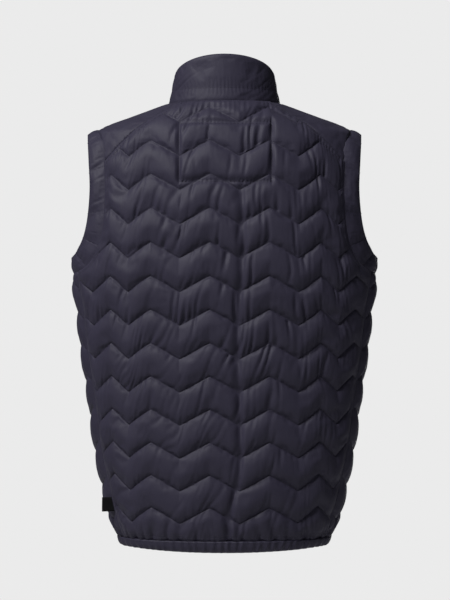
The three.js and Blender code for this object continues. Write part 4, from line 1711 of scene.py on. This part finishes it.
@dataclass
class StandCollar:
    """The stand collar: two layers of cloth sewn together at a channel above its seam."""

    wall: float = COLLAR_WALL
    channel: float = 22.0
    channel_depth: float = 0.5
    pucker: float = 6.6
    fold_spacing: float = 10.5
    fold_slope: float = 0.42
    fold_depth: float = 1.1
    back_top_z: float = 70.0
    front_top_z: float = COLLAR_FRONT_TOP_Z
    columns: int = 300
    rows: int = 34
    channel_row: int = 10
    fill: Fill = field(default_factory=lambda: Fill(pressure=0.7, ease=0.012, cap=0.9))

    def top_z(self, y: Array) -> Array:
        """The collar's height over a place in plan."""
        forward = (y + COLLAR_TOP.back) / (COLLAR_TOP.back + COLLAR_TOP.front)
        return self.back_top_z + forward * (self.front_top_z - self.back_top_z)

    def point(self, angle: Array, share: Array, grown: Array | float) -> Array:
        """Points of the collar.

        Args:
            angle: angles round it, 0 at the centre back.
            share: shares of its height.
            grown: how far out they are moved.

        Returns:
            One point for each.
        """
        seam = outline_point(COLLAR_FOOT, angle, 0)
        seam_z = FORM.height(seam[..., 0], seam[..., 1])
        whole = self.top_z(outline_point(COLLAR_TOP, angle, 0)[..., 1]) - seam_z
        foot, top = outline_point(COLLAR_FOOT, angle, grown), outline_point(COLLAR_TOP, angle, grown)
        flat = foot + (top - foot) * np.clip(share, 0, 1)[..., None]
        return np.concatenate([flat, (seam_z + share * whole)[..., None]], axis=-1)

    def height(self, angle: Array) -> Array:
        """The collar's height at each angle."""
        x, y = outline_point(COLLAR_FOOT, angle, 0).T
        return self.top_z(outline_point(COLLAR_TOP, angle, 0)[..., 1]) - FORM.height(x, y)

    def puckers(self, turn: Array, above: Array) -> Array:
        """The small gathers along the channel's stitching.

        Args:
            turn: places round the collar, in millimetres.
            above: how far each place lies above the stitching.

        Returns:
            How far in each point lies.
        """
        wave = np.sin(2 * math.pi * turn / self.pucker + 2.0 * np.sin(turn / 17))
        return 0.5 * (0.5 + 0.5 * wave) * bell(above / 4)

    def folds(self, turn: Array, up: Array) -> Array:
        """The rising folds towards each end of the back, most of them on the left.

        Args:
            turn: places round the collar, in millimetres.
            up: places up it, in millimetres.

        Returns:
            How far in each point lies.
        """
        place = (up - self.fold_slope * turn + 3 * np.sin(turn / 23)) / self.fold_spacing
        drawn = bell((turn + 78) / 26) + 0.35 * bell((turn - 70) / 30)
        return self.fold_depth * some_folds(place, 0.2, 4, 0.3) * drawn

    def build(self, palette: Palette) -> tuple[bpy.types.Object, list[Path]]:
        """Makes the collar.

        Args:
            palette: the materials.

        Returns:
            The piece, and the path of its channel stitching.
        """
        reach = math.pi - math.asin((ZIP_CLEAR + 0.2) / COLLAR_FOOT.half)
        middle = np.linspace(-1, 1, self.columns)
        tall = self.height(middle * reach)
        sewn = self.channel / tall
        low = np.linspace(0, 1, self.channel_row + 1)
        high = np.linspace(0, 1, self.rows - self.channel_row)[1:]
        share = np.vstack([low[:, None] * sewn, sewn + high[:, None] * (1 - sewn)])
        half = COLLAR_FOOT.half + share * (COLLAR_TOP.half - COLLAR_FOOT.half)
        angle = middle * (math.pi - np.arcsin((ZIP_CLEAR + 0.1) / half))
        edge = 1 - smooth((1 - share) * tall / 5)
        turn = middle * reach * COLLAR_FOOT.half
        start = 0.6
        below = np.sin(math.pi * np.clip(share / sewn, 0, 1))
        above = np.sin(math.pi * np.clip((share - sewn) / (1 - sewn), 0, 1)) ** 0.5
        puff = np.where(share < sewn, below, above)
        lift = -self.channel_depth + start * 0.7 * puff - 0.6 * edge
        lift = lift - self.puckers(turn, (share - sewn) * tall)
        lift = lift - self.folds(turn, share * tall) * smooth((1 - share) * 2.2) * smooth(share * 9)
        face = self.point(angle, share, lift)
        faces = grid_faces(self.rows, self.columns)
        held = np.zeros((self.rows, self.columns), bool)
        held[[0, self.channel_row, -1]] = True
        held[:, [0, -1]] = True
        blown = inflate(face.reshape(-1, 3), faces, held.ravel(), self.fill)
        lining = self.point(angle, share, -self.wall + 1.1 * edge + 0.4 * np.sin(math.pi * share))
        flat = (middle * reach * 80 + 0 * share, share * tall)
        piece = cloth_piece("collar_cloth", (blown, lining), faces, flat, [palette[TAFFETA]])
        out = np.stack([np.sin(middle * reach), -np.cos(middle * reach), 0 * middle], axis=1)
        row = blown.reshape(self.rows, self.columns, 3)[self.channel_row]
        return piece, [(row + 0.1 * out, out)]


@dataclass
class HemBinding:
    """The narrow gathered binding at the bottom."""

    wall: float = 6.3
    columns: int = 620
    rows: int = 12
    gather: float = 1.1
    middle_z: float = -680.0
    sag: float = 4.6
    sag_half: float = 150.0

    def build(self, palette: Palette) -> tuple[bpy.types.Object, list[Path]]:
        """Makes the binding, its lower edge lowest at the centre.

        Args:
            palette: the materials.

        Returns:
            The piece, and the path of its topstitching.
        """
        girth = float(FORM.half_girth(self.middle_z))
        arc = np.linspace(-1, 1, self.columns) * (girth - ZIP_CLEAR - 0.3)
        share = np.linspace(0, 1, self.rows)
        edge = HEM_EDGE_Z - 1.6 + self.sag * np.minimum(np.abs(arc) / self.sag_half, 1) ** 2
        z = edge + share[:, None] * (HEM_SEAM_Z - HALF_GAP - edge)
        way = np.broadcast_to(arc, z.shape)
        place = way / FORM.half_girth(self.middle_z) * FORM.half_girth(z)
        inner = FORM.point(z, place)
        out = FORM.normal(z, place)
        shape = np.interp(share, [0, 0.12, 0.3, 0.6, 1], [0.45, 0.85, 1, 1, 0.72])[:, None]
        strip = np.stack([way, z * 0.25], axis=-1)
        waves = 0.75 * np.sin(2 * math.pi * way / 11.7 + 1.8 * ripple(strip, 60, 3))
        folds = self.gather * (waves + 0.6 * ripple(strip, 8, 5))
        lift = self.wall * shape + folds * np.interp(share, [0, 0.2, 1], [0.4, 1, 0.7])[:, None]
        outer = inner + out * lift[:, :, None]
        faces = grid_faces(self.rows, self.columns)
        piece = cloth_piece("hem_binding_cloth", (outer, inner), faces, (way, z), [palette[TAFFETA]])
        row = self.rows - 2
        return piece, [(outer[row] + 0.1 * out[row], out[row])]


# The zip


def collar_front_seam_z() -> float:
    """The height of the collar's seam at the centre front."""
    return float(FORM.height(np.array(0.0), np.array(float(COLLAR_FOOT.front))))


def zip_depth(x: Array, z: Array) -> Array:
    """Depth of the inner faces that the zip lies behind: the fronts' and, higher up, the collar's.

    Args:
        x: places across.
        z: heights.

    Returns:
        The y of each place.
    """
    seam_z = collar_front_seam_z()
    share = (z - seam_z) / (COLLAR_FRONT_TOP_Z - seam_z)
    deep = COLLAR_FOOT.front + share * (COLLAR_TOP.front - COLLAR_FOOT.front) - COLLAR_WALL
    half = COLLAR_FOOT.half + share * (COLLAR_TOP.half - COLLAR_FOOT.half) - COLLAR_WALL
    collar = deep * np.sqrt(np.maximum(1 - (x / half) ** 2, 0))
    risen = smooth((z - seam_z + 24) / 26)
    return risen * collar + (1 - risen) * FORM.depth(x, z, Side.FRONT)


def slider_frame() -> tuple[Array, float]:
    """The slider's place on the collar at the centre front.

    Returns:
        The place, and how far the slider leans back.
    """
    seam_z = collar_front_seam_z()
    tall = COLLAR_FRONT_TOP_Z - seam_z
    share = (SLIDER_Z - seam_z) / tall
    y = COLLAR_FOOT.front + share * (COLLAR_TOP.front - COLLAR_FOOT.front)
    return np.array([0.0, y, SLIDER_Z]), math.atan2(COLLAR_FOOT.front - COLLAR_TOP.front, tall)


Corners = list[tuple[float, float]]
Shape = tuple[Array, list[list[int]]]


def plate(outline: Corners, window: Corners, thick: float, bevel: float) -> Shape:
    """A flat plate with softened edges, in its own plane.

    Args:
        outline: its corners, anticlockwise.
        window: the corners of a hole through it, or none.
        thick: its thickness.
        bevel: how far its edges are rounded.

    Returns:
        Its points, with the third value through its thickness, and its faces.
    """
    mesh = bmesh.new()
    rings = [[mesh.verts.new((x, y, 0)) for x, y in ring] for ring in (outline, window) if ring]
    pairs = [pair for ring in rings for pair in zip(ring, ring[1:] + ring[:1])]
    edges = [mesh.edges.new(pair) for pair in pairs]
    bmesh.ops.triangle_fill(mesh, use_beauty=True, use_dissolve=False, edges=edges)
    for face in mesh.faces:
        if face.normal.z < 0:
            face.normal_flip()
    top = bmesh.ops.extrude_face_region(mesh, geom=mesh.faces[:])
    lifted = [part for part in top["geom"] if isinstance(part, bmesh.types.BMVert)]
    bmesh.ops.translate(mesh, vec=(0, 0, thick), verts=lifted)
    bmesh.ops.recalc_face_normals(mesh, faces=mesh.faces[:])
    sharp = [e for e in mesh.edges if len(e.link_faces) == 2 and e.calc_face_angle(0) > 0.9]
    bmesh.ops.bevel(mesh, geom=sharp, offset=bevel, segments=2, affect="EDGES", profile=0.5)
    bmesh.ops.recalc_face_normals(mesh, faces=mesh.faces[:])
    mesh.verts.index_update()
    points = np.array([v.co[:] for v in mesh.verts])
    faces = [[v.index for v in f.verts] for f in mesh.faces]
    mesh.free()
    return points, faces


def joined(parts: list[Shape]) -> Shape:
    """Several shapes as one.

    Args:
        parts: the shapes.

    Returns:
        All their points and faces.
    """
    points, faces, start = [], [], 0
    for p, f in parts:
        points.append(p)
        faces += [[i + start for i in face] for face in f]
        start += len(p)
    return np.vstack(points), faces


def leaned(points: Array, place: Array, lean: float) -> Array:
    """Points turned about X and moved.

    Args:
        points: one row each.
        place: where the origin goes.
        lean: the turn in radians.

    Returns:
        The points in their new place.
    """
    c, s = math.cos(lean), math.sin(lean)
    x, y, z = points.T
    return np.stack([x, y * c - z * s, y * s + z * c], axis=1) + place


@dataclass
class ToothMaker:
    """Moulded teeth laid along the zip by Geometry Nodes, left and right in turn."""

    pitch: float = 1.55
    width: float = 3.5
    height: float = 1.5
    thick: float = 2.3
    shift: float = 0.9

    def tree(self, material: bpy.types.Material, sizes: dict[str, float]) -> bpy.types.NodeTree:
        """Builds the nodes that place a tooth on each point of the path.

        Args:
            material: the teeth's finish.
            sizes: the named inputs, in millimetres.

        Returns:
            The tree.
        """
        tree = path_tree("moulded_teeth", sizes, "Teeth")
        group = node(tree, "NodeGroupInput").outputs
        even = resampled(tree, group)
        number = node(tree, "GeometryNodeInputIndex")
        odd = node(tree, "ShaderNodeMath", {0: number.outputs[0], 1: 2.0}, operation="MODULO")
        side = node(tree, "ShaderNodeMath", {0: odd.outputs[0], 1: 2.0, 2: -1.0}, operation="MULTIPLY_ADD")
        offset = node(tree, "ShaderNodeCombineXYZ", {"X": times(tree, side.outputs[0], group["Shift"])})
        along = node(tree, "GeometryNodeInputTangent")
        turned = node(tree, "FunctionNodeAlignRotationToVector", {"Vector": along.outputs[0]}, axis="Z")
        drum = {"Vertices": 8, "Radius": 0.54, "Depth": 1.0}
        tooth = node(tree, "GeometryNodeMeshCylinder", drum, fill_type="NGON")
        lying = {"Geometry": tooth.outputs["Mesh"], "Rotation": (0.0, math.pi / 2, math.pi / 8)}
        sides = {"X": group["Tooth Width"], "Y": group["Tooth Thickness"], "Z": group["Tooth Height"]}
        laid = {
            "Points": even,
            "Instance": node(tree, "GeometryNodeTransform", lying).outputs[0],
            "Rotation": turned.outputs[0],
            "Scale": node(tree, "ShaderNodeCombineXYZ", sides).outputs[0],
        }
        teeth = node(tree, "GeometryNodeInstanceOnPoints", laid)
        aside = {"Instances": teeth.outputs[0], "Translation": offset.outputs[0], "Local Space": False}
        moved = node(tree, "GeometryNodeTranslateInstances", aside)
        end_in_material(tree, moved.outputs[0], material, "Teeth")
        return tree

    def build(self, material: bpy.types.Material, top: float, bottom: float) -> bpy.types.Object:
        """Makes the chain between two heights.

        Args:
            material: the teeth's finish.
            top: the upper height.
            bottom: the lower height.

        Returns:
            The piece.
        """
        z = np.linspace(bottom, top, 330)
        points = np.stack([0 * z, zip_depth(0 * z, z) - 0.55, z], axis=1)
        sizes = {
            "Pitch": self.pitch,
            "Tooth Width": self.width,
            "Tooth Height": self.height,
            "Tooth Thickness": self.thick,
            "Shift": self.shift,
        }
        return run_along("zip_teeth", self.tree(material, sizes), [(points, 0 * points)], sizes)


@dataclass
class Zip:
    """The front zip: two tapes, moulded teeth, a box at the bottom and a slider with its pull."""

    tape_from: float = 1.4
    tape_to: float = 15.0
    chain_top: float = -23.0
    chain_bottom: float = HEM_EDGE_Z + 9.3
    teeth: ToothMaker = field(default_factory=ToothMaker)

    def tape(self, palette: Palette) -> bpy.types.Object:
        """Makes the right tape.

        Args:
            palette: the materials.

        Returns:
            The piece.
        """
        across = np.linspace(self.tape_from, self.tape_to, 12)
        z = np.linspace(self.chain_bottom, -0.5, 300)
        up, aside = np.meshgrid(z, across, indexing="ij")
        face = zip_depth(aside, up) - 0.5 - 0.25 * np.cos(aside * 2.1)
        outer = np.stack([aside, face, up], axis=-1)
        sides = (outer, outer - (0, 0.9, 0))
        faces = grid_faces(len(z), len(across))[:, ::-1]
        return cloth_piece("zip_tape_right_cloth", sides, faces, (aside, up), [palette[TAPE]])

    def box(self, palette: Palette) -> bpy.types.Object:
        """Makes the box that holds the bottom of the chain.

        Args:
            palette: the materials.

        Returns:
            The piece.
        """
        block = [(-4.8, -4.5), (4.8, -4.5), (4.8, 4.5), (-4.8, 4.5)]
        pin = [(-1.2, -4.9), (1.2, -4.9), (1.2, 4.9), (-1.2, 4.9)]
        body, ridge = plate(block, [], 3.3, 0.7), plate(pin, [], 0.8, 0.3)
        points, faces = joined([body, (ridge[0] + (0, 0, 2.9), ridge[1])])
        x, up, out = points.T
        middle = HEM_EDGE_Z + 4.5
        depth = float(zip_depth(np.array(0.0), np.array(middle)))
        placed = np.stack([-x, depth - 1.5 + out, middle + up * 0.9], axis=1)
        return self.metal(new_mesh("zip_box_metal", placed, faces), palette)

    def slider(self, palette: Palette) -> bpy.types.Object:
        """Makes the slider: a flared plate over the teeth, and its arch.

        Args:
            palette: the materials.

        Returns:
            The piece.
        """
        flank = [(3.1, -6.5), (3.9, -3.5), (4.6, 1.5), (4.6, 3.6), (2.4, 5.5), (0.9, 4.7)]
        flared = [(-3.1, -6.5), *flank, *((-a, b) for a, b in flank[:0:-1])]
        arch = [(-4.4, -1.0), (-4.0, 3.4), (-2.8, 4.8), (3.2, 4.8), (4.6, 3.4), (5.2, -1.0)]
        arch += [(3.9, -1.0), (3.3, 3.0), (2.7, 3.5), (-2.3, 3.5), (-2.8, 3.0), (-3.1, -1.0)]
        face = plate(flared, [], 1.4, 0.35)
        rib = plate(arch[::-1], [], 2.4, 0.35)
        x, z, out = face[0].T
        front = np.stack([-x, out - 1.8, z], axis=1)
        z, y, across = rib[0].T
        loop = np.stack([across - 1.2, y, z], axis=1)
        points, faces = joined([(front, face[1]), (loop, rib[1])])
        place, lean = slider_frame()
        mesh = new_mesh("zip_slider_metal", leaned(points, place, lean), faces)
        return self.metal(mesh, palette)

    def pull(self, palette: Palette) -> bpy.types.Object:
        """Makes the pull that hangs from the slider's arch.

        Args:
            palette: the materials.

        Returns:
            The piece.
        """
        turn = np.linspace(math.pi, 2 * math.pi, 13)
        outline = [(-4.0, 0.2), *((4.0 * math.cos(a), -29.0 + 4.0 * math.sin(a)) for a in turn), (4.0, 0.2)]
        outline += [(2.5, 1.7), (-2.5, 1.7)]
        window = [(-2.4, 0.0), (-2.4, -5.6), (2.4, -5.6), (2.4, 0.0)]
        points, faces = plate(outline, window, 1.6, 0.3)
        x, z, out = points.T
        placed = np.stack([-x, out - 0.8 + 2.0, z], axis=1)
        place, lean = slider_frame()
        mesh = new_mesh("zip_pull_metal", leaned(placed, place, lean), faces)
        return self.metal(mesh, palette)

    @staticmethod
    def metal(mesh: bpy.types.Mesh, palette: Palette) -> bpy.types.Object:
        """Turns a small metal part's faces out and gives it its finish.

        Args:
            mesh: the part.
            palette: the materials.

        Returns:
            The piece.
        """
        shaped = bmesh.new()
        shaped.from_mesh(mesh)
        bmesh.ops.recalc_face_normals(shaped, faces=shaped.faces[:])
        shaped.to_mesh(mesh)
        shaped.free()
        mesh.polygons.foreach_set("use_smooth", [False] * len(mesh.polygons))
        mesh.materials.append(palette[GUNMETAL])
        LOG.info("%s: %d faces", mesh.name, len(mesh.polygons))
        return new_object(mesh.name, mesh)


@dataclass
class SideTab:
    """The plain folded label sewn into the side seam."""

    z: float = -623.0
    height: float = 22.0
    root: tuple[float, float] = (-167.0, -37.4)
    reach: float = 22.0
    lean: float = 0.3

    def build(self, palette: Palette) -> bpy.types.Object:
        """Makes the label as a strip folded on itself.

        Args:
            palette: the materials.

        Returns:
            The piece.
        """
        gap = 0.45
        along = np.linspace(0, self.reach, 16)
        fold = np.linspace(-math.pi / 2, math.pi / 2, 9)[1:-1]
        path = [(a, -gap) for a in along]
        path += [(self.reach + gap * math.cos(f), gap * math.sin(f)) for f in fold]
        path = np.array(path + [(a, gap) for a in along[::-1]])
        step = unit(np.gradient(path, axis=0))
        normal = np.stack([step[:, 1], -step[:, 0]], axis=1)
        rows = np.linspace(-self.height / 2, self.height / 2, 12)
        turn = math.pi + self.lean
        c, s = math.cos(turn), math.sin(turn)
        sides = []
        for grown in (0.35, -0.3):
            flat = path + normal * grown
            wave = 0.35 * np.sin(rows / 4.2)[:, None] * (flat[:, 0] / self.reach)[None, :] ** 2
            a = np.broadcast_to(flat[:, 0], wave.shape)
            b = flat[:, 1] + wave
            z = np.broadcast_to(self.z + rows[:, None], wave.shape)
            sides.append(np.stack([self.root[0] + a * c - b * s, self.root[1] + a * s + b * c, z], axis=-1))
        faces = grid_faces(len(rows), len(path))
        places = np.meshgrid(length_along(path), rows)
        return cloth_piece("side_tab_cloth", tuple(sides), faces, tuple(places), [palette[LABEL]])


# The studio


@dataclass
class Studio:
    """The camera at the photograph's view, soft light and a pale floor."""

    distance: float = 3.2
    eye_z: float = -0.308
    lens: float = 122.88
    floor_z: float = -1.45

    def build(self) -> None:
        """Makes the camera, the lights, the sky and the floor."""
        camera = bpy.data.cameras.new("camera")
        camera.lens = self.lens
        camera.sensor_fit = "VERTICAL"
        camera.sensor_height = 36.0
        camera.clip_end = 50
        seen = new_object("camera", camera)
        seen.location = (0.0008, -self.distance, self.eye_z)
        seen.rotation_euler = (math.pi / 2, 0, 0)
        bpy.context.scene.camera = seen
        self.sun("key", (-0.85, -0.85, 1.3), 1.45)
        self.light("window", (-0.9, -1.1, 1.0), (0.8, 0.8), 19.5)
        self.light("front", (0.3, 2.4, -0.25), (1.6, 1.6), 22)
        self.light("fill", (2.2, -2.4, 0.0), (2.0, 2.0), 1.5)
        self.sky()
        self.floor()

    @staticmethod
    def sun(name: str, toward: tuple[float, float, float], strength: float) -> None:
        """Adds a soft distant light.

        Args:
            name: its name.
            toward: the direction that it shines from.
            strength: its strength.
        """
        lamp = bpy.data.lights.new(name, "SUN")
        lamp.energy = strength
        lamp.angle = math.radians(24)
        new_object(name, lamp).rotation_euler = Vector(toward).to_track_quat("Z", "Y").to_euler()

    @staticmethod
    def light(
        name: str, place: tuple[float, float, float], size: tuple[float, float], watts: float
    ) -> None:
        """Adds a soft light turned towards the vest's middle.

        Args:
            name: its name.
            place: where it stands, in metres.
            size: its width and height.
            watts: its power.
        """
        lamp = bpy.data.lights.new(name, "AREA")
        lamp.shape = "RECTANGLE"
        lamp.size, lamp.size_y = size
        lamp.energy = watts
        made = new_object(name, lamp)
        made.location = place
        toward = Vector((0, 0, -0.3)) - Vector(place)
        made.rotation_euler = toward.to_track_quat("-Z", "Y").to_euler()

    @staticmethod
    def sky() -> None:
        """Pale grey all round, dimmer as a light than as a backdrop."""
        world = bpy.data.worlds.new("studio")
        bpy.context.scene.world = world
        world.use_nodes = True
        tree = world.node_tree
        tree.nodes.clear()
        backdrop = node(tree, "ShaderNodeBackground", {"Color": linear("#ebebeb"), "Strength": 1.0})
        glow = node(tree, "ShaderNodeBackground", {"Color": linear("#eceef2"), "Strength": 0.08})
        ray = node(tree, "ShaderNodeLightPath")
        kinds = {0: ray.outputs["Is Camera Ray"], 1: glow.outputs[0], 2: backdrop.outputs[0]}
        mixed = node(tree, "ShaderNodeMixShader", kinds)
        node(tree, "ShaderNodeOutputWorld", {"Surface": mixed.outputs[0]})

    def floor(self) -> None:
        """A plain pale floor below the photograph's frame."""
        sides, radius = 64, 3000
        angle = np.linspace(0, 2 * math.pi, sides, endpoint=False)
        level = np.full(sides, self.floor_z / MM)
        points = np.stack([radius * np.cos(angle), radius * np.sin(angle), level], axis=1)
        mesh = new_mesh("floor", points, [list(range(sides))])
        made = new_object("floor", mesh)
        paper = bpy.data.materials.new("pale_floor_paper")
        paper.use_nodes = True
        shader = paper.node_tree.nodes["Principled BSDF"]
        shader.inputs["Base Color"].default_value = linear("#d9d9d9")
        shader.inputs["Roughness"].default_value = 0.9
        mesh.materials.append(paper)


def dress(piece: bpy.types.Object, solid: str, body: str = VEST) -> bpy.types.Object:
    """Puts a piece on its body in place of a solid.

    Args:
        piece: the piece.
        solid: the node that it replaces.
        body: the body that it rides on.

    Returns:
        The same piece.
    """
    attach(piece, body)
    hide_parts(solid)
    return piece


def dress_panels(palette: Palette, stitches: StitchMaker) -> tuple[bpy.types.Object, ...]:
    """Makes the back and both fronts with their sewing.

    Args:
        palette: the materials.
        stitches: lays their stitches.

    Returns:
        The back, the right front and the left front.
    """
    back_panel = QuiltedPanel("back_panel_cloth", Side.BACK)
    front_panel = QuiltedPanel("front_right_cloth", Side.FRONT)
    back, back_rows = back_panel.build(palette)
    front, front_rows = front_panel.build(palette)
    left = mirror_copy(front, "front_left_cloth")
    for piece, solid in ((back, "back_panel"), (front, "front_right"), (left, "front_left")):
        dress(piece, solid)
    stitches.sew("back_quilting", back_rows)
    stitches.sew("back_topstitching", back_panel.topstitching(), pitch=2.9)
    stitches.sew("front_right_quilting", front_rows)
    stitches.sew("front_left_quilting", mirror_paths(front_rows))
    front_lines = front_panel.topstitching()
    stitches.sew("front_right_topstitching", front_lines, pitch=2.9)
    stitches.sew("front_left_topstitching", mirror_paths(front_lines), pitch=2.9)
    return back, front, left


def dress_shoulders(palette: Palette, stitches: StitchMaker) -> None:
    """Makes the yokes and the armhole bands.

    Args:
        palette: the materials.
        stitches: lays their stitches.
    """
    yoke = ShoulderYoke().build(palette, "yoke_right_cloth")
    band, band_rows = ArmholeBand().build(palette, "armhole_band_right_cloth")
    yokes = ((yoke, "yoke_right"), (mirror_copy(yoke, "yoke_left_cloth"), "yoke_left"))
    left_band = mirror_copy(band, "armhole_band_left_cloth")
    for piece, solid in yokes:
        dress(piece, solid)
    for piece, solid in ((band, "armhole_band_right"), (left_band, "armhole_band_left")):
        dress(piece, solid)
    stitches.sew("armhole_band_right_stitching", band_rows, pitch=2.8)
    stitches.sew("armhole_band_left_stitching", mirror_paths(band_rows), pitch=2.8)


def dress_edges(palette: Palette, stitches: StitchMaker) -> None:
    """Makes the collar, the hem binding and the side tab.

    Args:
        palette: the materials.
        stitches: lays their stitches.
    """
    collar, collar_rows = StandCollar().build(palette)
    hem, hem_rows = HemBinding().build(palette)
    dress(collar, "collar")
    dress(hem, "hem_binding")
    tab = dress(SideTab().build(palette), "side_tab")
    collar_thread = stitches.sew("collar_stitching", collar_rows)
    hem_thread = stitches.sew("hem_stitching", hem_rows, pitch=3.0)


def dress_zip(palette: Palette) -> None:
    """Makes the zip's pieces.

    Args:
        palette: the materials.
    """
    closure = Zip()
    tape = closure.tape(palette)
    left = mirror_copy(tape, "zip_tape_left_cloth")
    for piece, solid in ((tape, "zip_tape_right"), (left, "zip_tape_left")):
        dress(piece, solid)
    chain = closure.teeth.build(palette[TEETH], closure.chain_top, closure.chain_bottom)
    dress(chain, "zip_chain")
    dress(closure.box(palette), "zip_box")
    dress(closure.slider(palette), "zip_slider")
    dress(closure.pull(palette), "zip_pull", PULL)


def main() -> None:
    """Builds the vest in order."""
    logging.basicConfig(level=logging.INFO, format="%(name)s: %(message)s")
    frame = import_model()
    scene = bpy.context.scene
    scene.view_settings.view_transform = "Standard"
    scene.view_settings.look = "None"
    Studio().build()
    palette = Palette()
    stitches = StitchMaker(palette[THREAD])
    back, *fronts = dress_panels(palette, stitches)
    dress_shoulders(palette, stitches)
    dress_edges(palette, stitches)
    dress_zip(palette)


if __name__ == "__main__":
    main()
